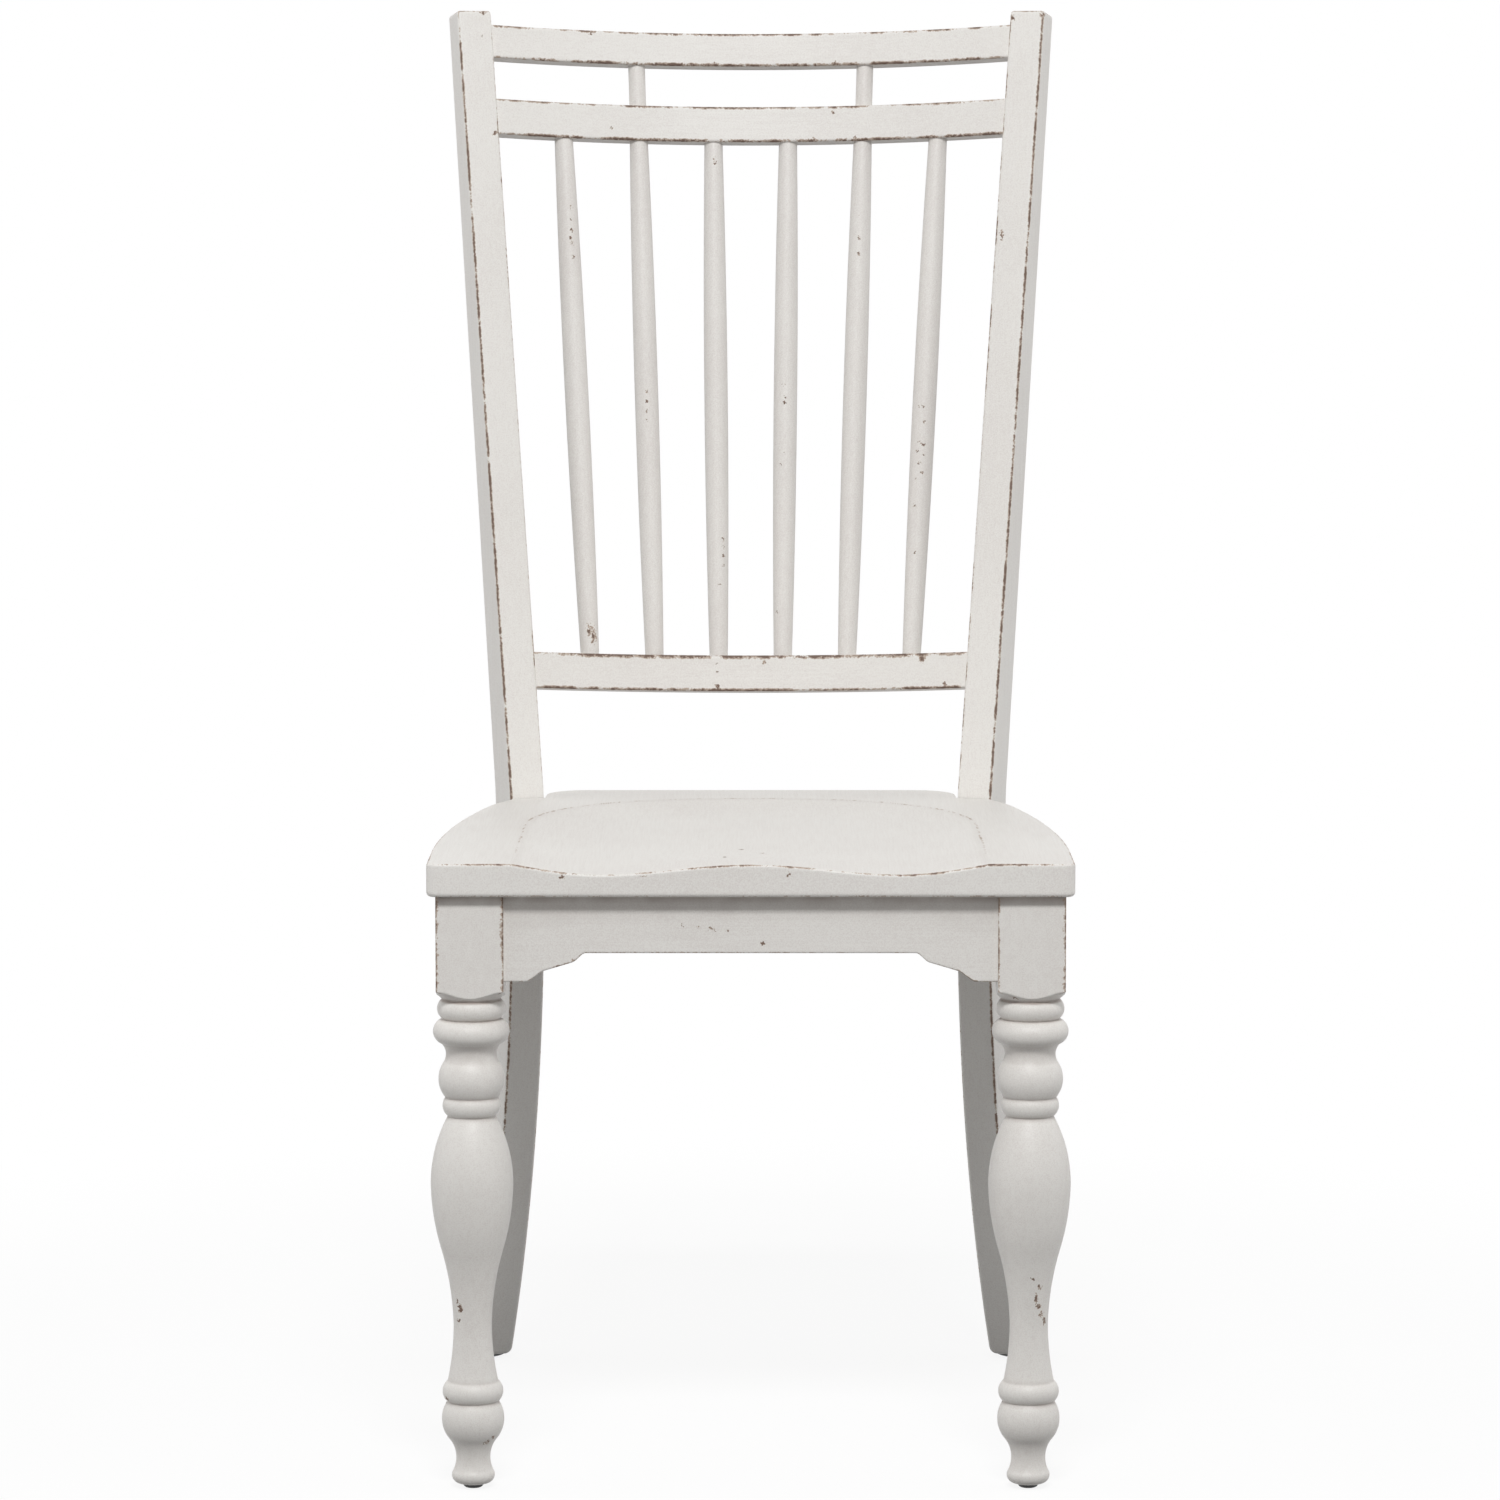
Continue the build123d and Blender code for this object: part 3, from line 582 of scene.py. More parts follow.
def seat_runs():
    heel_reach = HEEL_SHARE * POST_WIDTH
    heel = (POST_X + heel_reach * math.cos(TURN), POST_Y - heel_reach * math.sin(TURN) - NOTCH_ROOM)
    shoulder_place = (SEAT_HALF - SHOULDER_IN, POST_Y - SHOULDER_FORWARD)
    tongue_x, tongue_y = POST_X - NOTCH_ROOM, POST_Y + POST_DEPTH_AT_SEAT * math.cos(TURN) + TONGUE_OVERHANG
    bow_end = (SEAT_HALF, FRONT_Y + SEAT_CORNER)
    bow, heading = arc_points((SEAT_HALF - SEAT_CORNER, FRONT_Y), (1, 0), bow_end, 41)
    middle = len(bow) // 2
    side, heading = arc_points((SEAT_HALF, FRONT_Y + SIDE_ARC_FROM), (0, 1), shoulder_place, 60)
    shoulder, _ = arc_points(shoulder_place, heading, heel, 40)
    back, _ = arc_points((tongue_x, tongue_y - TONGUE_CORNER), (0, 1), (POST_X - TONGUE_CORNER, tongue_y), 40)
    front_run = np.vstack([[(0, FRONT_Y)], bow[:middle + 1]])
    side_run = np.vstack([bow[middle:], side, shoulder])
    notch_run = np.array([heel, (tongue_x, POST_Y - 0.2)])
    tongue_run = np.vstack([[(tongue_x, POST_Y - 0.2)], back, [(0, tongue_y)]])
    return front_run, side_run, notch_run, tongue_run


# %% The hollow of the seat: how far its surface lies below the rim
HOLLOW_HALF, HOLLOW_MIDDLE, HOLLOW_RUN = 172.5, 222.0, 194.0
HOLLOW_DEPTH, HOLLOW_FLOOR, HOLLOW_SQUARENESS = 7.8, 0.62, 2.4
RISE_LENGTH, RISE_HALF, RISE_SHARE = 170, 112, 0.93
WORN_CREASE = 0.22


def hollow_depth(x, y):
    forward = y - FRONT_Y
    power = HOLLOW_SQUARENESS
    run = np.maximum(forward - HOLLOW_MIDDLE, 0) / HOLLOW_RUN
    rim = np.minimum(((np.abs(x) / HOLLOW_HALF) ** power + run ** power) ** (1 / power), 1.3)
    wall = np.maximum(rim - HOLLOW_FLOOR, 0) / (1 - HOLLOW_FLOOR)
    depth = HOLLOW_DEPTH * np.cos(math.pi / 2 * wall)
    along = np.where(forward < RISE_LENGTH, (1 + np.cos(math.pi * np.maximum(forward, 0) / RISE_LENGTH)) / 2, 0)
    across = np.where(np.abs(x) < RISE_HALF, (1 + np.cos(math.pi * x / RISE_HALF)) / 2, 0)
    return depth * (1 - RISE_SHARE * along * across), (rim - 1) * HOLLOW_HALF


def seat_height(x, y):
    # The crease at the rim of the hollow is worn round, over about a quarter of a millimetre
    depth, _ = hollow_depth(x, y)
    return SEAT_TOP - WORN_CREASE * np.logaddexp(0, depth / WORN_CREASE)


# %% The seat's outline all round, from the middle of the front edge, and how much each place is rounded
HALF_GRID = 112
NOTCH_STEPS = 14
TOP_EASE, TOP_EASE_SHARP = 2.0, 0.4
LOW_EASE, LOW_EASE_SHARP = 3.2, 0.5
front_run, side_run, notch_run, tongue_run = seat_runs()
half_loop = np.vstack([
    respaced(front_run, HALF_GRID), respaced(side_run, 2 * HALF_GRID - NOTCH_STEPS)[1:],
    respaced(notch_run, NOTCH_STEPS)[1:], respaced(tongue_run, HALF_GRID)[1:],
])
loop = np.vstack([half_loop[:-1], (half_loop * [-1, 1])[::-1][:-1]])
along = np.roll(loop, -1, 0) - np.roll(loop, 1, 0)
loop_out = np.stack([along[:, 1], -along[:, 0]], -1) / np.linalg.norm(along, axis=1)[:, None]
sharp_places = np.zeros(len(half_loop))
sharp_places[3 * HALF_GRID - NOTCH_STEPS - 2:3 * HALF_GRID + 9] = 1
sharp = np.concatenate([sharp_places[:-1], sharp_places[::-1][:-1]])
sharp = np.convolve(np.concatenate([sharp[-3:], sharp, sharp[:3]]), np.ones(7) / 7, "valid")
top_ease = TOP_EASE * (1 - sharp) + TOP_EASE_SHARP * sharp
low_ease = LOW_EASE * (1 - sharp) + LOW_EASE_SHARP * sharp
print("seat outline", loop.shape, "width", round(np.ptp(loop[:, 0]), 2), "depth", round(np.ptp(loop[:, 1]), 2))

# %% The seat's top as a square grid stretched to the outline
top_edge = loop - loop_out * top_ease[:, None]
grid = np.arange(-HALF_GRID, HALF_GRID + 1)
i, j = (axis.ravel() for axis in np.meshgrid(grid, grid, indexing="ij"))
ring = np.maximum(np.maximum(np.abs(i), np.abs(j)), 1e-9)
place = np.where(j == ring, 4 * ring - i, 6 * ring - j)
place = np.where(i == ring, 2 * ring + j, place)
place = np.where(j == -ring, i, place)
place = (place / ring * HALF_GRID) % (8 * HALF_GRID)
steps_round = np.arange(8 * HALF_GRID + 1)
edge_x, edge_y = (np.interp(place, steps_round, np.append(axis, axis[0])) for axis in top_edge.T)
SEAT_MIDDLE = -48.0
share = ring / HALF_GRID
top_x, top_y = edge_x * share, SEAT_MIDDLE + (edge_y - SEAT_MIDDLE) * share
seat_points = [np.stack([top_x, top_y, seat_height(top_x, top_y)], -1)]
number = np.arange(len(grid) ** 2).reshape(len(grid), len(grid))
seat_quads = [np.stack([number[:-1, :-1], number[1:, :-1], number[1:, 1:], number[:-1, 1:]], -1).reshape(-1, 4)]
on_edge = np.argsort(np.where(ring == HALF_GRID, place, 1e9))[:8 * HALF_GRID]
print("seat grid points", len(top_x))

# %% The seat's rim, wall and underside as rings below that grid
EASE_STEPS = 6
WALL_SHARES = (0.08, 0.3, 0.7, 0.92)
UNDER_INSETS = (2.5, 20)


def seat_ring(inset, height):
    flat = loop - loop_out * np.reshape(inset, (-1, 1))
    return np.column_stack([flat, height * np.ones(len(loop))])


rim_top = seat_height(top_edge[:, 0], top_edge[:, 1])
seat_rings = []
for step in range(1, EASE_STEPS + 1):
    angle = math.pi / 2 * step / EASE_STEPS
    seat_rings.append(seat_ring(top_ease * (1 - math.sin(angle)), rim_top - top_ease * (1 - math.cos(angle))))
for share_down in WALL_SHARES:
    seat_rings.append(seat_ring(0 * top_ease, (rim_top - top_ease) * (1 - share_down)
                                + (SEAT_BOTTOM + low_ease) * share_down))
for step in range(EASE_STEPS + 1):
    angle = math.pi / 2 * step / EASE_STEPS
    low_rim = SEAT_BOTTOM + low_ease * (1 - math.sin(angle))
    seat_rings.append(seat_ring(low_ease * (1 - math.cos(angle)), low_rim))
for extra in UNDER_INSETS:
    seat_rings.append(seat_ring(low_ease + extra, SEAT_BOTTOM))
upper = on_edge
start = len(grid) ** 2
for ring_points in seat_rings:
    lower = start + np.arange(len(loop))
    seat_quads.append(np.stack([upper, lower, np.roll(lower, -1), np.roll(upper, -1)], -1))
    seat_points.append(ring_points)
    start, upper = start + len(loop), lower
seat_points.append([[0, SEAT_MIDDLE, SEAT_BOTTOM]])
seat_faces = [np.vstack(seat_quads), np.column_stack([upper, np.full(len(loop), start), np.roll(upper, -1)])]
seat_points = np.vstack(seat_points)

# %% Rub of the seat: its rim, by place along the front edge, and the crease round the hollow
SIDE_RUB, HIDDEN_RUB, RUB_MIDDLE = 0.75, 0.42, 0.42
CREASE_RUB, CREASE_RUB_MIDDLE, CREASE_WIDTH = 0.70, 0.50, 1.7
SEAT_FRONT_RUB = [
    (-224, -128, 0.78), (-138, -126, 1.0), (-84, -72, 1.15), (-45, -20, 1.0), (-20, 45, 0.66), (24, 30, 0.95),
    (95, 140, 0.85), (155, 160, 0.85), (163, 200, 1.2), (210, 214, 1.0),
]
x, y, z = seat_points.T
_, from_crease = hollow_depth(x, y)
is_top = np.arange(len(x)) < len(grid) ** 2
crease_level = np.where(np.abs(x) > 95, CREASE_RUB, CREASE_RUB_MIDDLE) * np.where(y > FRONT_Y + 40, 1, 0.4)
rub = np.where(is_top, crease_level * fading(np.abs(from_crease + 0.6), CREASE_WIDTH), 0)
front_level = rub_along(x, 0.45, SEAT_FRONT_RUB)
for step in range(EASE_STEPS + 1):
    rows = on_edge if step == 0 else len(grid) ** 2 + (step - 1) * len(loop) + np.arange(len(loop))
    level = np.where(loop_out[:, 1] < -0.5, front_level[rows], SIDE_RUB) * (1 - 0.6 * sharp)
    gap = abs(step / EASE_STEPS - RUB_MIDDLE) * math.pi / 2 * top_ease
    rub[rows] = np.maximum(rub[rows], level * fading(gap, 2.0))
low_start = len(grid) ** 2 + (EASE_STEPS + len(WALL_SHARES)) * len(loop)
for step in range(EASE_STEPS + 1):
    rows = low_start + step * len(loop) + np.arange(len(loop))
    rub[rows] = HIDDEN_RUB * max(0.0, 1 - abs(step / EASE_STEPS - 0.5) * 2.2)
soil_and_shade = np.where(is_top, 0.10 * np.exp(-((from_crease + 2) / 3) ** 2), 0)
SEAT_CHIPS = [
    (-19, -227.5, 462.6, 1.7, 6, 3), (-7, -149, 458.5, 2.2, 6, 3), (8.6, -185, 460, 1.5, 5, 3),
    (-136.5, -295, 456, 2.8, 4, 2.2), (27.3, -295, 458, 2.2, 4, 1.6), (-78, -295, 457, 4, 4, 1.4),
]
painted_piece("saddle_seat", seat_points, seat_faces, rub, soil_and_shade,
              worn_paint("paint_seat", GRAIN_BACK, SEAT_CHIPS), ["seat"])

# %% [markdown]
# Each front leg is one stick: a square block where the aprons meet, and below it a turned part cut on a lathe.
# On the lathe the square corners are cut away first, which leaves the curved shoulder under the block. The same
# happens here: each ring is the smaller of the square and the lathe's circle at that height.

# %% Points along a lathe cut that passes three places
def lathe_cut(a, b, c, step):
    a, b, c = (np.array(value, float) for value in (a, b, c))
    ab, ac = b - a, c - a
    twice = 2 * (ab[0] * ac[1] - ab[1] * ac[0])
    if abs(twice) < 1e-6:
        count = max(2, math.ceil(np.linalg.norm(ac) / step))
        return a + np.linspace(0, 1, count + 1)[1:, None] * ac
    ab2, ac2 = ab @ ab, ac @ ac
    centre = a + np.array([ac[1] * ab2 - ab[1] * ac2, ab[0] * ac2 - ac[0] * ab2]) / twice
    radius = np.linalg.norm(a - centre)
    first, middle, last = (math.atan2(*(value - centre)[::-1]) for value in (a, b, c))
    to_middle, to_last = (middle - first) % math.tau, (last - first) % math.tau
    sweep = to_last if to_middle < to_last else to_last - math.tau
    count = max(3, math.ceil(abs(sweep) * radius / step))
    angles = first + sweep * np.linspace(0, 1, count + 1)[1:]
    return centre + radius * np.stack([np.cos(angles), np.sin(angles)], -1)


# %% The turned shape: each row is one cut, its middle and its end, in shares of the turned height and the vase
BLOCK_BOTTOM = 363.0
VASE = 30.2
NECK_SHARE = 0.705
SHOULDER_TOP, SHOULDER_MIDDLE, SHOULDER_CURVE = 8.3, 4.73, 0.416
TOE_MIDDLE = (0.504, 0.019)
TOE_SHARE, TOE_INNER_SHARE = 0.36, 0.3
TURNING = (
    (0.981, 0.825, 0.960, 0.689), (0.935, 0.926, 0.910, 0.728), (0.893, 0.622, 0.872, 0.668),
    (0.838, 0.800, 0.800, 0.636), (0.781, 0.703, 0.762, 0.576), (0.698, 0.882, 0.623, 1.000),
    (0.557, 0.932, 0.490, 0.752), (0.413, 0.546, 0.336, 0.464), (0.278, 0.501, 0.220, 0.614),
    (0.199, 0.738, 0.178, 0.626), (0.143, 0.759, 0.102, 0.588), (0.060, 0.416, 0.035, 0.492),
)


def leg_outline():
    corner = BLOCK_HALF * math.sqrt(2) + 0.15
    neck = (NECK_SHARE * VASE, BLOCK_BOTTOM)
    chain = [np.array([[corner, z] for z in np.linspace(SEAT_BOTTOM, BLOCK_BOTTOM + SHOULDER_TOP, 34)])]
    shoulder = (neck[0] + SHOULDER_CURVE * (corner - neck[0]), BLOCK_BOTTOM + SHOULDER_MIDDLE)
    chain.append(lathe_cut(chain[0][-1], shoulder, neck, 0.6))
    place = neck
    for middle_z, middle_r, end_z, end_r in TURNING:
        end = (end_r * VASE, end_z * BLOCK_BOTTOM)
        chain.append(lathe_cut(place, (middle_r * VASE, middle_z * BLOCK_BOTTOM), end, 0.85))
        place = end
    toe_middle = (TOE_MIDDLE[0] * VASE, TOE_MIDDLE[1] * BLOCK_BOTTOM)
    chain.append(lathe_cut(place, toe_middle, (TOE_SHARE * VASE, GLIDE_THICKNESS), 0.8))
    chain.append(np.array([[TOE_INNER_SHARE * VASE, GLIDE_THICKNESS]]))
    return np.vstack(chain)


# %% The block's square with its small corner rounding, seen from the middle along an angle
BLOCK_ROUND = 1.5


def square_reach(angles):
    # The rounding's middle lies on the diagonal
    c, s = np.abs(np.cos(angles)), np.abs(np.sin(angles))
    flat = BLOCK_HALF / np.maximum(c, s)
    middle = BLOCK_HALF - BLOCK_ROUND
    along = middle * (c + s)
    curved = along + np.sqrt(np.maximum(BLOCK_ROUND ** 2 - 2 * middle ** 2 + along ** 2, 0))
    return np.where(flat * np.minimum(c, s) > middle, curved, flat)


# %% Angles round the leg, closer together at the block's corners
at_corner = [45 + value for value in (-1.8, -1.2, -0.6, 0, 0.6, 1.2, 1.8)]
quarter = at_corner + [46.8 + 86.4 * n / 18 for n in range(1, 18)]
leg_angles = np.radians(np.concatenate([np.array(quarter) + 90 * n for n in range(4)]))
leg_shape = leg_outline()
print("leg rings", len(leg_shape), "points round", len(leg_angles))

# %% Legs: rub on the block's edges, dirt and painted shade in the hollows, painted shade under the seat
CORNER_RADIUS, BLOCK_RUB_WIDTH = 34, 1.9
RIDGE_RUB, GROOVE_DIRT_AND_SHADE, DIRT_EVERYWHERE = 0.30, 0.45, 0.06
UNDER_SEAT_SHADE = 9
BLOCK_RUB = {"left": (0.5, 0.5, 1.05, 1.05), "right": (0.5, 0.5, 0.7, 1.0)}
LEG_CHIPS = {
    "left": [(-214.8, -272, 141, 1.8, 8, 2.6), (-212.4, -273, 135.5, 1.8, 8, 5),
             (-213.6, -272, 126, 1.3, 8, 2), (-222.9, -271, 68.2, 2, 8, 1.8),
             (-189, -274, 39.5, 2.6, 8, 2.6), (-193.6, -276, 36, 2.6, 8, 3),
             (-227, -286, 367.5, 3.6, 5, 2.4), (-181.2, -286, 368, 3.4, 5, 2.6)],
    "right": [(206.5, -279, 158.5, 1.4, 8, 1.6), (211, -277, 152, 1.8, 8, 3), (208.6, -276, 144, 2, 8, 6),
              (210.3, -275, 137, 1.6, 8, 2.6), (212.6, -273, 131.5, 2, 8, 3),
              (214.8, -271, 126, 1.4, 8, 3.6), (181, -286, 368, 3.6, 5, 2.2), (191, -286, 366, 5, 5, 1.5),
              (225.5, -286, 368, 4, 5, 2.4)],
}
radius, height = leg_shape.T
for side, word in SIDES:
    square = np.where(height[:, None] >= BLOCK_BOTTOM, square_reach(leg_angles)[None, :], 99)
    reach = np.minimum(square, radius[:, None])
    rings = np.stack([side * LEG_X + reach * np.cos(leg_angles), LEG_Y + reach * np.sin(leg_angles),
                      np.broadcast_to(height[:, None], reach.shape)], -1)
    near = np.abs((np.degrees(leg_angles) % 90) - 45)
    corner = (np.degrees(leg_angles) % 360 // 90).astype(int)
    level = np.array(BLOCK_RUB[word])[corner] * fading(near * math.pi / 180 * CORNER_RADIUS, BLOCK_RUB_WIDTH)
    smooth = np.convolve(np.pad(radius, 5, "edge"), np.ones(11) / 11, "valid")
    turned = height < BLOCK_BOTTOM
    ridge = np.where(turned, np.clip((radius - smooth) / 0.9, 0, 1), 0)
    # Hollows of the turning darken: partly dirt and partly painted shade
    groove = np.where(turned, np.clip((smooth - radius) / 0.9, 0, 1), 0)
    on_block = height[:, None] > BLOCK_BOTTOM + 6
    rub = np.where(turned[:, None], RIDGE_RUB * ridge[:, None], level[None, :] * on_block)
    # Painted shade: the top of the block darkens over 9 mm below the seat, where the seat's shadow falls
    under_seat_shade = 0.9 * fading(SEAT_BOTTOM - height, UNDER_SEAT_SHADE)
    # Darker in a band 2 mm either side of the block's lower end, at the turning's neck
    neck_darkening = 0.9 * fading(np.abs(height - BLOCK_BOTTOM), 2.0)
    soil_and_shade = DIRT_EVERYWHERE + GROOVE_DIRT_AND_SHADE * groove + under_seat_shade + neck_darkening
    soil_and_shade = np.repeat(soil_and_shade[:, None], len(leg_angles), 1)
    lofted_piece("turned_leg_" + word, rings, rub, soil_and_shade,
                 worn_paint("paint_leg_" + word, GRAIN_TURNED, LEG_CHIPS[word]), ["front_leg_" + word])

# %% [markdown]
# The aprons are boards under the seat. The front one has a stepped bracket at each end, so its lower edge is a
# height that changes along its length. All are lofts of one eased section, pushed a little way into the sticks
# that they are joined to, as the real ones are.

# %% A board between two places, with its lower edge given along the way
def board_rings(start, end, thickness, bottoms, top, ease):
    start, end = np.array(start, float), np.array(end, float)
    along = (end - start) / np.linalg.norm(end - start)
    inward = np.array([-along[1], along[0]])
    rings, gap_rows, corner_rows = [], [], []
    for share, bottom in bottoms:
        places, gaps, corners = eased_section(thickness, top - bottom, ease)
        flat = start + (end - start) * share + inward * (places[:, :1] - thickness / 2)
        rings.append(np.column_stack([flat, bottom + places[:, 1]]))
        gap_rows.append(gaps)
        corner_rows.append(corners)
    return np.array(rings), np.array(gap_rows), np.array(corner_rows)


# %% Front apron
APRON_THICKNESS = 20.0
APRON_RECESS = 4.5
BRACKET = [(0, 399), (121.4, 399), (128.4, 392.5), (151.9, 385.5), (161.9, 378), (183, 378)]


def bracket_bottom(x):
    return np.mean([level_at(np.abs(x) + shift, BRACKET) for shift in np.linspace(-1.6, 1.6, 9)], axis=0)


APRON_REACH = 182.0
APRON_Y = LEG_Y - BLOCK_HALF + APRON_RECESS + APRON_THICKNESS / 2
bottoms = [(share, float(bracket_bottom((2 * share - 1) * APRON_REACH))) for share in np.linspace(0, 1, 300)]
rings, gaps, corners = board_rings(
    (-APRON_REACH, APRON_Y), (APRON_REACH, APRON_Y), APRON_THICKNESS, bottoms, SEAT_BOTTOM, 1.3)
APRON_RUB = [(-182, 0.7), (-165, 0.66), (-150, 0.5), (-140, 0.7), (-120, 0.7), (0, 0.45), (120, 0.5),
             (182, 0.66)]
lower_level = level_at(rings[:, 0, 0], APRON_RUB)
rub = np.where(corners <= 1, lower_level[:, None], 0) * fading(gaps, 1.8)
APRON_CHIPS = [
    (-49.7, -281, 419, 1.4, 4, 1.3), (-38.3, -281, 418, 1.2, 4, 1.2), (-28.5, -281, 417, 2.2, 4, 1.4),
    (-25.5, -281, 415.4, 1.2, 4, 1.4), (-16.8, -281, 415.2, 1.6, 4, 1.5), (-2.5, -281, 414.3, 1.3, 4, 1.2),
    (8.9, -281, 406.6, 2.2, 4, 1.6), (-140, -281, 389.7, 2.4, 5, 1.8), (-127.5, -281, 393.5, 3.2, 5, 2),
]
# Painted shade: the apron darkens over 9 mm below the seat's overhang, where the seat's shadow falls
apron_painted_shade = 0.9 * fading(SEAT_BOTTOM - rings[..., 2], UNDER_SEAT_SHADE)
lofted_piece("bracket_apron", rings, rub, apron_painted_shade,
             worn_paint("paint_apron", GRAIN_ACROSS, APRON_CHIPS), ["front_apron"])

# %% Side and rear aprons
SIDE_RECESS, TENON_PUSH = 14.5, 3
level_steps = [(share, APRON_BOTTOM) for share in np.linspace(0, 1, 120)]


def plain_board(name, start, end, paint, node):
    rings, gaps, corners = board_rings(start, end, APRON_THICKNESS, level_steps, SEAT_BOTTOM - 0.02, 1.0)
    rub = np.where(corners <= 1, HIDDEN_RUB, 0) * fading(gaps, 2.0)
    lofted_piece(name, rings, rub, 0 * rub, paint, [node])


side_paint = worn_paint("paint_side_apron", GRAIN_BACK)
rear_paint = worn_paint("paint_rear_apron", GRAIN_ACROSS)
side_start = np.array([LEG_X + BLOCK_HALF - SIDE_RECESS, LEG_Y + BLOCK_HALF])
side_end = np.array([POST_X + POST_WIDTH / 2 * math.cos(TURN), POST_Y - POST_WIDTH / 2 * math.sin(TURN)])
push = (side_end - side_start) / np.linalg.norm(side_end - side_start) * TENON_PUSH
for side, word in SIDES:
    flip = np.array([side, 1])
    plain_board("side_board_" + word, (side_start - push) * flip, (side_end + push) * flip, side_paint,
                "side_apron_" + word)
rear_y = POST_Y + POST_DEPTH_AT_SEAT / 2 * math.cos(TURN)
rear_x = POST_X + (rear_y - POST_Y) * math.tan(TURN) + 2
plain_board("rear_board", (-rear_x, rear_y), (rear_x, rear_y), rear_paint, "rear_apron")

# %% [markdown]
# The three back rails are the same bent board at three heights, and the six spindles are the same turned rod
# six times, leaning apart by a rule. That is work for Geometry Nodes: the tree holds the rule, its named inputs
# hold the sizes, and the result is turned into a plain mesh at the end. The same Wire class writes the sums.

# %% Start a geometry tree with named inputs, and turn its result into a plain mesh
KINDS = {"Count": "NodeSocketInt", "Paint": "NodeSocketMaterial"}


def new_tree(name, inputs):
    # An input is a plain number unless its kind is given above
    tree = bpy.data.node_groups.new(name, "GeometryNodeTree")
    tree.interface.new_socket("Geometry", in_out="OUTPUT", socket_type="NodeSocketGeometry")
    for label in inputs:
        tree.interface.new_socket(label, in_out="INPUT", socket_type=KINDS.get(label, "NodeSocketFloat"))
    wire = Wire(tree)
    given = tree.nodes.new("NodeGroupInput")
    return tree, wire, {label: Wire(tree, given.outputs[label]) for label in inputs}


def vector(wire, x=0, y=0, z=0):
    return wire.node("ShaderNodeCombineXYZ", {"X": x, "Y": y, "Z": z})


def end_tree(wire, geometry, paint):
    # Instances are made real, shaded smooth and painted, and the result leaves the tree
    real = wire.node("GeometryNodeRealizeInstances", {"Geometry": geometry})
    smooth = wire.node("GeometryNodeSetShadeSmooth", {"Geometry": real})
    painted = wire.node("GeometryNodeSetMaterial", {"Geometry": smooth, "Material": paint})
    wire.node("NodeGroupOutput", {"Geometry": painted})


def plain_mesh(name, tree, lengths, others):
    # Lengths come in millimetres, the other values as they are
    values = {label: value * MM for label, value in lengths.items()} | others
    holder = set_down(name, bpy.data.meshes.new(name + "_start"))
    modifier = holder.modifiers.new("make", "NODES")
    modifier.node_group = tree
    for item in tree.interface.items_tree:
        if item.in_out == "INPUT":
            modifier[item.identifier] = values[item.name]
    made = holder.evaluated_get(bpy.context.evaluated_depsgraph_get())
    mesh = bpy.data.meshes.new_from_object(made)
    holder.modifiers.clear()
    holder.data = mesh
    mesh.name = name
    return holder


# %% Sizes of the back, measured along its leaning plane from the seat's height
CREST_HEIGHT, UPPER_HEIGHT, LOWER_HEIGHT = 26.6, 28.6, 28.7
CREST_DROP, UPPER_GAP, LOWER_BOTTOM = 10.6, 32.9, 87.3
CREST_TOP = (POST_TOP - SEAT_TOP) / math.cos(BACK_LEAN) - CREST_DROP
UPPER_TOP = CREST_TOP - CREST_HEIGHT - UPPER_GAP
LOWER_TOP = LOWER_BOTTOM + LOWER_HEIGHT
RAILS = {"crest_rail": (CREST_TOP, CREST_HEIGHT), "upper_back_rail": (UPPER_TOP, UPPER_HEIGHT),
         "lower_back_rail": (LOWER_TOP, LOWER_HEIGHT)}
RAIL_THICKNESS = 19.0
RAIL_SETBACK, RAIL_TENON = 4.0, 4.0
SPREAD = math.tan(RAKE) * math.sin(TURN)


def half_span(up):
    return POST_X + up * math.cos(BACK_LEAN) * SPREAD


def rail_arc(top, height):
    # Radius of the rail's front face, and how far behind the back's plane its centre lies
    radius = half_span(top - height / 2) / math.sin(TURN)
    return radius, RAIL_SETBACK - radius * math.cos(TURN)


def rail_half_angle(top, height):
    radius, _ = rail_arc(top, height)
    return math.asin((half_span(top) + RAIL_TENON) / radius)


# %% Lean a flat back over and set it between the posts
def leant_back(wire, geometry):
    return wire.node("GeometryNodeTransform", {
        "Geometry": geometry, "Rotation": (-BACK_LEAN, 0, 0), "Translation": (0, POST_Y * MM, SEAT_TOP * MM)})


# %% The tree of a bent rail: a rounded board swept along an arc, then leant back
rail_tree, wire, given = new_tree("bent_rail", (
    "Arc radius", "Centre back", "Middle height", "Half angle", "Board height", "Board thickness",
    "Corner radius", "Spacing", "Paint"))
arc = wire.node("GeometryNodeCurveArc", {
    "Resolution": 190, "Radius": given["Arc radius"] + given["Board thickness"] * 0.5,
    "Start Angle": math.pi / 2 - given["Half angle"], "Sweep Angle": given["Half angle"] * 2}, mode="RADIUS")
board = wire.node("GeometryNodeCurvePrimitiveQuadrilateral", {
    "Width": given["Board thickness"], "Height": given["Board height"]})
eased = wire.node("GeometryNodeFilletCurve", {
    "Curve": board, "Count": 6, "Radius": given["Corner radius"]}, mode="POLY")
evened = wire.node("GeometryNodeResampleCurve", {"Curve": eased, "Length": given["Spacing"]}, mode="LENGTH")
swept = wire.node("GeometryNodeCurveToMesh", {"Curve": arc, "Profile Curve": evened, "Fill Caps": True})
shift = vector(wire, y=given["Centre back"], z=given["Middle height"])
placed = wire.node("GeometryNodeTransform", {"Geometry": swept, "Translation": shift})
end_tree(wire, leant_back(wire, placed), given["Paint"])


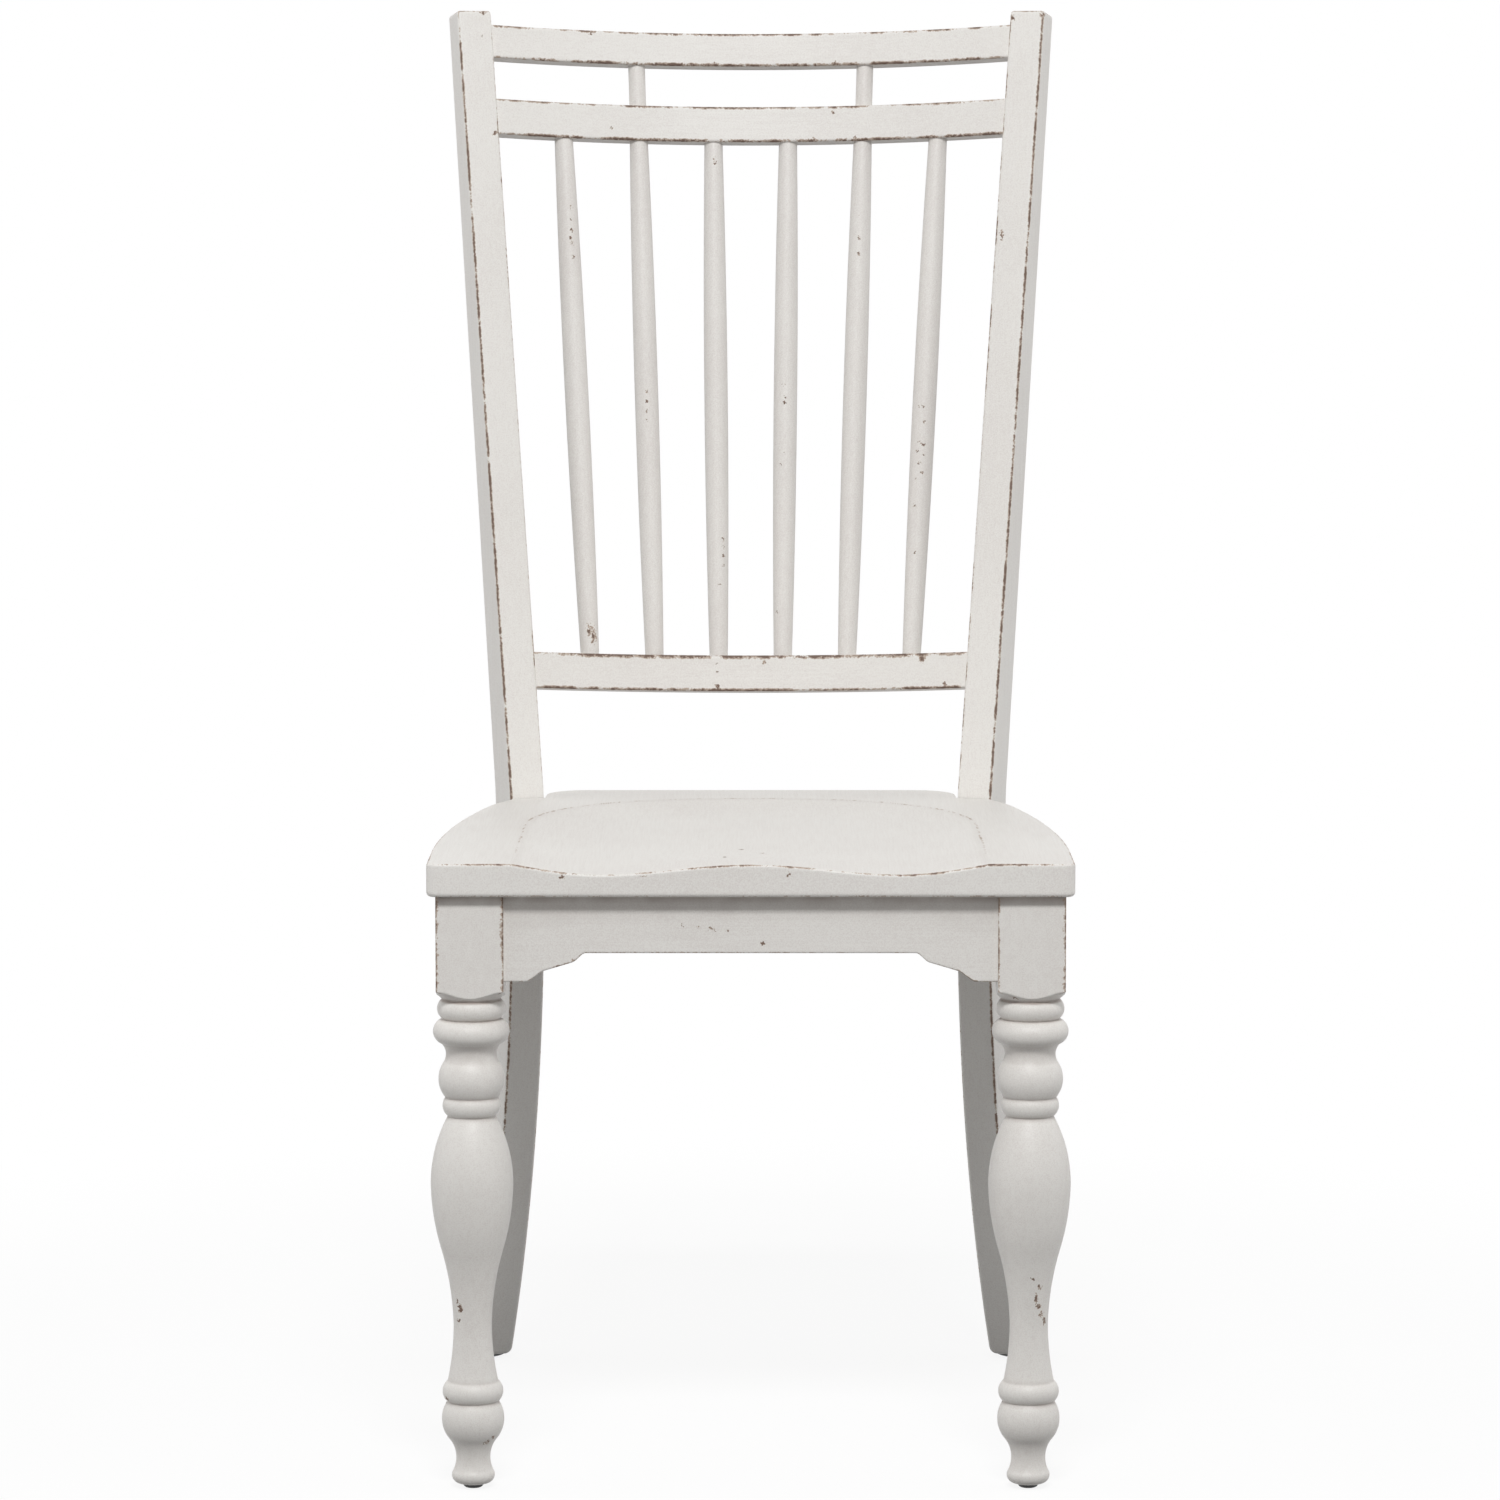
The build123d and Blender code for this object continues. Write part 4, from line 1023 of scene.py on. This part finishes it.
# %% From world places back to places on the leaning back: across, behind its plane, and up it
def on_back(mesh):
    flat = np.zeros(len(mesh.vertices) * 3)
    mesh.vertices.foreach_get("co", flat)
    x, y, z = flat.reshape(-1, 3).T / MM
    y, z = y - POST_Y, z - SEAT_TOP
    c, s = math.cos(BACK_LEAN), math.sin(BACK_LEAN)
    return x, y * c - z * s, y * s + z * c


def store(mesh, label, values):
    mesh.attributes.new(label, "FLOAT", "POINT").data.foreach_set("value", np.asarray(values, float))


# %% Rub along the rails: levels across the chair for the top front corner and the bottom front corner
RAIL_RUB = {
    "crest_rail": (
        (0.45, [(-205, -176, 0.85), (-152, -124, 0.95), (-105, -89, 0.8), (-81, -54, 1.25), (-47, 7, 1.05),
                (9, 39, 0.95), (47, 55, 1.15), (96, 107, 0.8), (123, 134, 0.9), (140, 160, 0.95),
                (174, 183, 1.05)]),
        (0.50, [(-174, -156, 1.05), (-141, -110, 1.15), (-106, -82, 1.0), (-80, -34, 1.3), (-34, 7, 1.1),
                (12, 17, 0.95), (19, 39, 0.95), (43, 65, 1.0), (65, 70, 1.3), (70, 87, 0.9),
                (97, 123, 1.15), (127, 134, 1.0), (137, 183, 0.95)])),
    "upper_back_rail": (
        (0.45, [(-200, -184, 0.75), (-179, -171, 0.95), (-166, -162, 0.95), (-148, -144, 0.95),
                (-133, -124, 1.05), (-103, -80, 1.05), (-76, -63, 1.1), (-50, 9, 1.15), (9, 19, 0.8),
                (20, 35, 0.95), (47, 57, 0.85), (64, 69, 1.25), (70, 95, 0.9), (123, 151, 0.85),
                (155, 179, 0.9)]),
        (0.50, [(-179, -162, 1.0), (-160, -136, 1.1), (-120, -93, 1.2), (-88, -35, 1.05), (-25, 11, 1.25),
                (12, 31, 1.0), (34, 49, 1.05), (49, 54, 1.3), (67, 94, 1.15), (95, 123, 0.9),
                (135, 148, 1.1), (156, 201, 1.05)])),
    "lower_back_rail": (
        (0.55, [(-167, -135, 0.7), (-134, -31, 1.2), (-88, -80, 1.35), (-24, -5, 1.15), (-2, 26, 1.15),
                (10, 13, 1.4), (26, 37, 1.0), (37, 72, 1.3), (75, 94, 1.0), (98, 104, 1.15),
                (107, 128, 1.3), (132, 140, 1.4), (142, 170, 0.85)]),
        (0.50, [(-163, -139, 0.9), (-127, -27, 1.0), (-29, -24, 1.3), (-23, 7, 0.95), (9, 33, 1.0),
                (35, 86, 0.75), (102, 150, 0.9), (151, 155, 1.3), (155, 166, 0.95)])),
}
RAIL_BACK_RUB = (0.55, [(-150, -90, 0.85), (-30, 40, 0.8), (90, 170, 0.9)])
RAIL_CHIPS = {
    "crest_rail": [(-128, 262, 1067, 1.6, 8, 3), (67.6, 268, 1042, 1.6, 8, 3),
                   (-54.4, 270, 1041.6, 2.4, 8, 2), (-28.2, 272, 1042.6, 1.1, 8, 1.3),
                   (51, 268, 1066, 3.4, 8, 2.4)],
    "upper_back_rail": [(-111, 251, 991, 1.6, 8, 1.4), (83.5, 254, 983.5, 1.8, 8, 3),
                        (50.7, 258, 982.5, 1.8, 8, 2), (66, 261, 1004, 1.8, 8, 2.6)],
    "lower_back_rail": [(-26.8, 178, 566.8, 0.9, 8, 1.2), (-26.6, 177, 561.3, 1.1, 8, 1.3),
                        (-26.6, 175, 549.5, 2.2, 8, 2.2), (135.7, 159, 573, 3.4, 8, 4.6),
                        (153.7, 150, 553.6, 1.5, 8, 2.6), (10.8, 176, 568.5, 1.6, 8, 3)],
}

# %% Make the rails
RAIL_CORNER, RAIL_SPACING = 2.0, 0.75
FRONT_RUB_WIDTH, LOW_TOP_RUB_WIDTH, BACK_RUB_WIDTH = 2.4, 3.6, 2.2
for name, (top, height) in RAILS.items():
    radius, centre = rail_arc(top, height)
    rail = plain_mesh("bent_" + name, rail_tree, {
        "Arc radius": radius, "Centre back": centre, "Middle height": top - height / 2, "Board height": height,
        "Board thickness": RAIL_THICKNESS, "Corner radius": RAIL_CORNER, "Spacing": RAIL_SPACING,
    }, {"Half angle": rail_half_angle(top, height),
        "Paint": worn_paint("paint_" + name, GRAIN_ACROSS, RAIL_CHIPS[name])})
    x, back, up = on_back(rail.data)
    depth = np.hypot(x, back - centre) - radius
    worn = np.zeros(len(x))
    top_width = LOW_TOP_RUB_WIDTH if name == "lower_back_rail" else FRONT_RUB_WIDTH
    for edge_up, edge_depth, levels, width in (
            (top, 0, RAIL_RUB[name][0], top_width), (top - height, 0, RAIL_RUB[name][1], FRONT_RUB_WIDTH),
            (top, RAIL_THICKNESS, RAIL_BACK_RUB, BACK_RUB_WIDTH),
            (top - height, RAIL_THICKNESS, RAIL_BACK_RUB, BACK_RUB_WIDTH)):
        away = np.hypot(up - edge_up, depth - edge_depth) - 0.8
        worn = np.maximum(worn, rub_along(x, *levels) * fading(away, width))
    store(rail.data, "rub", worn)
    # Darker along each rail's underside and its lower corner, over 1.5 mm
    store(rail.data, "soil_and_shade", 0.35 * np.clip(1.5 - (up - top + height), 0, 1))
    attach(rail, "root")
    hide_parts(name)
    low, high = up.min(), up.max()
    print(name, "points", len(x), "up", round(low, 1), round(high, 1), "triangles", len(rail.data.polygons))

# %% The tree of the spindles: one turned rod, set at each place and leant along its own line
spindle_tree, wire, given = new_tree("turned_spindles", (
    "Count", "Gap share", "Low half span", "High half span", "Low radius", "Low centre", "High radius",
    "High centre", "Low height", "High height", "End radius", "Belly radius", "Thin radius", "Tenon",
    "Thin length", "Paint"))
places = wire.node("GeometryNodeMeshLine", {"Count": given["Count"], "Offset": (0.01, 0, 0)})
index = wire.node("GeometryNodeInputIndex")
from_middle = index - (given["Count"] - 1) * 0.5
share = from_middle * given["Gap share"]


def rod_end(half, radius, centre, height):
    across = share * half
    return vector(wire, across, centre + (radius * radius - across * across).square_root(), height)


low_end = rod_end(given["Low half span"], given["Low radius"], given["Low centre"], given["Low height"])
high_end = rod_end(given["High half span"], given["High radius"], given["High centre"], given["High height"])
line = vector_maths(wire, "SUBTRACT", high_end, low_end)
lean = wire.node("FunctionNodeAlignRotationToVector", {"Vector": line}, axis="Z")
set_out = wire.node("GeometryNodeSetPosition", {"Geometry": places, "Position": low_end})
height = given["High height"] - given["Low height"]


# %% A straight line up the rod, cut into even steps, and a rod of a given girth along it
def upright_line(low, high, count):
    ends = {"Start": vector(wire, z=low), "End": vector(wire, z=high)}
    line = wire.node("GeometryNodeCurvePrimitiveLine", ends)
    return wire.node("GeometryNodeResampleCurve", {"Curve": line, "Count": count}, mode="COUNT")


ring = wire.node("GeometryNodeCurvePrimitiveCircle", {"Resolution": 40, "Radius": 1.0}, mode="RADIUS")


def rod_along(line, girth):
    return wire.node("GeometryNodeCurveToMesh", {
        "Curve": line, "Profile Curve": ring, "Scale": girth, "Fill Caps": True})


# %% The turned rod itself: its radius swells as an arc from either end to the belly
place_z = wire.node("ShaderNodeSeparateXYZ", {"Vector": wire.node("GeometryNodeInputPosition")}, "Z")
from_belly = (place_z / height - 0.5) * 2
swell = (1 - from_belly * from_belly).larger(0)
girth = given["End radius"] + swell * (given["Belly radius"] - given["End radius"])
rod = rod_along(upright_line(-given["Tenon"], height + given["Tenon"], 150), girth)
rods = wire.node("GeometryNodeInstanceOnPoints", {"Points": set_out, "Instance": rod, "Rotation": lean})

# %% The second and the fifth run on, thinner, to the crest rail
thin_line = upright_line(height + given["Tenon"] * 0.5, height + given["Thin length"], 36)
thin_rod = rod_along(thin_line, given["Thin radius"])
is_long = wire.node("FunctionNodeCompare", {0: from_middle.size(), 1: 1.5, "Epsilon": 0.1},
                    data_type="FLOAT", operation="EQUAL")
thin_rods = wire.node("GeometryNodeInstanceOnPoints", {
    "Points": set_out, "Selection": is_long, "Instance": thin_rod, "Rotation": lean})
joined = spindle_tree.nodes.new("GeometryNodeJoinGeometry")
for part in (rods, thin_rods):
    spindle_tree.links.new(part.socket, joined.inputs[0])
end_tree(wire, leant_back(wire, Wire(spindle_tree, joined.outputs[0])), given["Paint"])

# %% Make the spindles
SPINDLE_CHIPS = [(x, y, z, across, 9, along) for x, y, z, across, along in (
    (-144.2, 231, 929, 1.3, 2.2), (-143.8, 229, 918, 1.1, 1.4), (-143.2, 227, 910, 1.3, 1.6),
    (-143.6, 226, 904, 1.5, 2.4), (-142.8, 225, 900, 1.5, 2), (-142, 223, 889, 1.2, 1.8),
    (-125, 167, 590.5, 5, 10.5), (-128, 168, 595, 3.2, 6.5), (-83, 214, 782, 1.6, 2),
    (-83.2, 213, 774.5, 1.3, 1.7), (-83.4, 212, 767, 1.1, 2.6), (-83.6, 211, 759.5, 1.1, 1.6),
    (-29.8, 258, 966.5, 1.6, 2.2), (-28.6, 257, 963, 1.5, 1.8), (-21.8, 200, 665, 1.4, 1.8),
    (-21.6, 198, 659, 1.1, 1.3), (-21.9, 197, 651.6, 1.3, 1.8), (-21.9, 196, 644, 1.1, 1.2),
    (-25.3, 192, 629.6, 1.3, 1.3), (27, 222, 787, 1.2, 1.3), (27.6, 220, 777, 1.1, 1.3),
    (26.9, 219, 773, 1.5, 1.6), (26.5, 211, 734, 1.1, 1.2), (24.6, 210, 723.9, 1.3, 1.4),
    (20.9, 190, 607.4, 1.2, 1.4), (86.7, 239, 903.5, 1.5, 2.2), (86.1, 236, 890.5, 1.6, 2.8),
    (86.9, 240, 921, 0.9, 1.2), (133.9, 200, 772, 1, 1.1), (137.6, 199, 771, 1, 1.1),
    (138.4, 195, 759, 0.9, 1), (134.2, 194, 743, 1.3, 1.3), (137, 194, 741, 1.4, 1.6),
    (132.9, 193, 735.5, 1.3, 1.8), (136.8, 192, 732.5, 1.4, 1.5), (134, 192, 726, 1.8, 1.5),
    (136, 191, 718.5, 1.1, 1.4), (131, 189, 714, 1, 1), (130.3, 186, 692.8, 1.6, 1.6),
    (130.6, 179, 655.8, 1.1, 1.1))]
END_RADIUS, BELLY_RADIUS, THIN_RADIUS, TENON, THIN_TENON = 7.3, 9.4, 6.7, 12.0, 10
lower, upper = rail_arc(*RAILS["lower_back_rail"]), rail_arc(*RAILS["upper_back_rail"])
UPPER_BOTTOM = UPPER_TOP - UPPER_HEIGHT
spindles = plain_mesh("six_spindles", spindle_tree, {
    "Low half span": half_span(LOWER_TOP), "High half span": half_span(UPPER_BOTTOM),
    "Low radius": lower[0] + RAIL_THICKNESS / 2, "Low centre": lower[1],
    "High radius": upper[0] + RAIL_THICKNESS / 2, "High centre": upper[1],
    "Low height": LOWER_TOP, "High height": UPPER_BOTTOM,
    "End radius": END_RADIUS, "Belly radius": BELLY_RADIUS, "Thin radius": THIN_RADIUS, "Tenon": TENON,
    "Thin length": CREST_TOP - CREST_HEIGHT - UPPER_BOTTOM + THIN_TENON,
}, {"Count": 6, "Gap share": 0.3, "Paint": worn_paint("paint_spindles", GRAIN_UPRIGHT, SPINDLE_CHIPS, 0.42)})
x, back, up = on_back(spindles.data)
store(spindles.data, "rub", 0 * x)
store(spindles.data, "soil_and_shade", 0 * x)
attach(spindles, "root")
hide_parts(*["spindle_" + str(number) for number in range(1, 7)])
print("spindles points", len(x), "across", round(x.min(), 1), round(x.max(), 1),
      "up", round(up.min(), 1), round(up.max(), 1))

# %% [markdown]
# Under the seat the wood was never painted: the corner blocks and the dowels are plain pale wood, held by steel
# screws, and each foot stands on a black plastic glide. Their CAD shapes are right, so they stay and only get a
# finish. Wood grain is noise stretched along the board, steel is a little uneven in its shine.

# %% Bare wood, steel and plastic
def bare_wood():
    material, wire = new_material("bare_block_wood")
    place = own_place(wire)
    bands = noise(wire, stretched(wire, place, (0.12, 0.12, 1)), 420, 4.0, 0.6)
    pores = noise(wire, stretched(wire, place, (0.05, 0.05, 1)), 1500, 2.0)
    colour = blend_colour(wire, bands.between(0.3, 0.7), (0.47, 0.32, 0.19, 1), (0.60, 0.44, 0.28, 1))
    colour = blend_colour(wire, pores.between(0.55, 0.8) * 0.5, colour, (0.28, 0.18, 0.10, 1))
    bump = uneven(wire, bands + pores, 0.0003, 0.4)
    dry = 0.62 + bands * 0.15
    return finish_surface(material, wire, {"Base Color": colour, "Roughness": dry, "Normal": bump})


def screw_steel():
    material, wire = new_material("zinc_screw_steel")
    cloud = noise(wire, own_place(wire), 900, 3.0)
    colour = blend_colour(wire, cloud, (0.50, 0.50, 0.48, 1), (0.68, 0.67, 0.63, 1))
    shine = 0.28 + cloud * 0.25
    return finish_surface(material, wire, {"Base Color": colour, "Metallic": 1.0, "Roughness": shine})


def glide_plastic():
    material, wire = new_material("black_glide_plastic")
    scuffs = noise(wire, own_place(wire), 1400, 3.0, 0.65)
    colour = blend_colour(wire, scuffs.between(0.5, 0.75), (0.018, 0.018, 0.018, 1), (0.06, 0.058, 0.055, 1))
    bump = uneven(wire, scuffs, 0.0002, 0.4)
    dull = 0.42 + scuffs * 0.2
    return finish_surface(material, wire, {"Base Color": colour, "Roughness": dull, "Normal": bump})


# %% Give them to the CAD nodes that stay
corners = [(row, hand) for row in ("front", "rear") for hand in ("left", "right")]
kept = {
    bare_wood(): [f"corner_block_{row}_{hand}" for row, hand in corners] + ["apron_dowels"],
    screw_steel(): ["corner_block_screws", "seat_screws"],
    glide_plastic(): [f"{row}_glide_{hand}" for row, hand in corners],
}
for material, names in kept.items():
    for name in names:
        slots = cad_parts[name].material_slots
        for slot in slots:
            slot.material = material
        print(name, material.name, len(slots))

# %% [markdown]
# The floor is one plain sheet. To the camera it is nearly white and still darkens under the chair, and to the
# chair it is grey, so that it lights the chair from below no more than a room would. The world is the rest of
# the room, brighter at the sides, which gives the turned legs and the spindles their pale flanks.

# %% Floor
FLOOR_GREY = 0.3
FLOOR_WHITE = 0.88
WHITE_FROM, WHITE_TO = 0.6, 1.3
floor_mesh = bpy.data.meshes.new("floor")
floor_mesh.from_pydata([(-9, -6, 0), (9, -6, 0), (9, 14, 0), (-9, 14, 0)], [], [(0, 1, 2, 3)])
floor = set_down("floor", floor_mesh)
material, wire = new_material("pale_floor")
seen = looked_at(wire)
far = vector_maths(wire, "LENGTH", own_place(wire)).between(WHITE_FROM, WHITE_TO)
colour = blend_colour(wire, seen, (FLOOR_GREY, FLOOR_GREY, FLOOR_GREY, 1), (1, 1, 1, 1))
plain = wire.node("ShaderNodeBsdfDiffuse", {"Color": colour})
white = wire.node("ShaderNodeEmission", {"Color": (1, 1, 1, 1), "Strength": 1.0})
whiteness = seen * (FLOOR_WHITE + far * (1 - FLOOR_WHITE))
mixed = wire.node("ShaderNodeMixShader", {0: whiteness, 1: plain, 2: white})
wire.node("ShaderNodeOutputMaterial", {"Surface": mixed})
floor_mesh.materials.append(material)

# %% World: bright walls at both sides, a softer one behind the chair, little from the ceiling and the front
ROOM = {"sides": 2.2, "ceiling": 0.25, "behind": 0.8, "front": 0.1}
world = bpy.data.worlds.new("pale_room")
bpy.context.scene.world = world
world.use_nodes = True
world.node_tree.nodes.clear()
wire = Wire(world.node_tree)
heading = wire.node("ShaderNodeTexCoord", output="Generated")
across, forth, upward = (wire.node("ShaderNodeSeparateXYZ", {"Vector": heading}, axis) for axis in "XYZ")
back, front, above = forth.larger(0), (-forth).larger(0), upward.larger(0)
sideways = across * across
room_light = (sideways * sideways * ROOM["sides"] + above * above * ROOM["ceiling"]
              + back * back * ROOM["behind"] + front * front * ROOM["front"])
seen = looked_at(wire)
room = wire.node("ShaderNodeBackground", {"Color": (1, 1, 1, 1), "Strength": room_light * (1 - seen) + seen})
wire.node("ShaderNodeOutputWorld", {"Surface": room})
print("room light", ROOM)

# %% View
bpy.context.scene.view_settings.view_transform = "Standard"
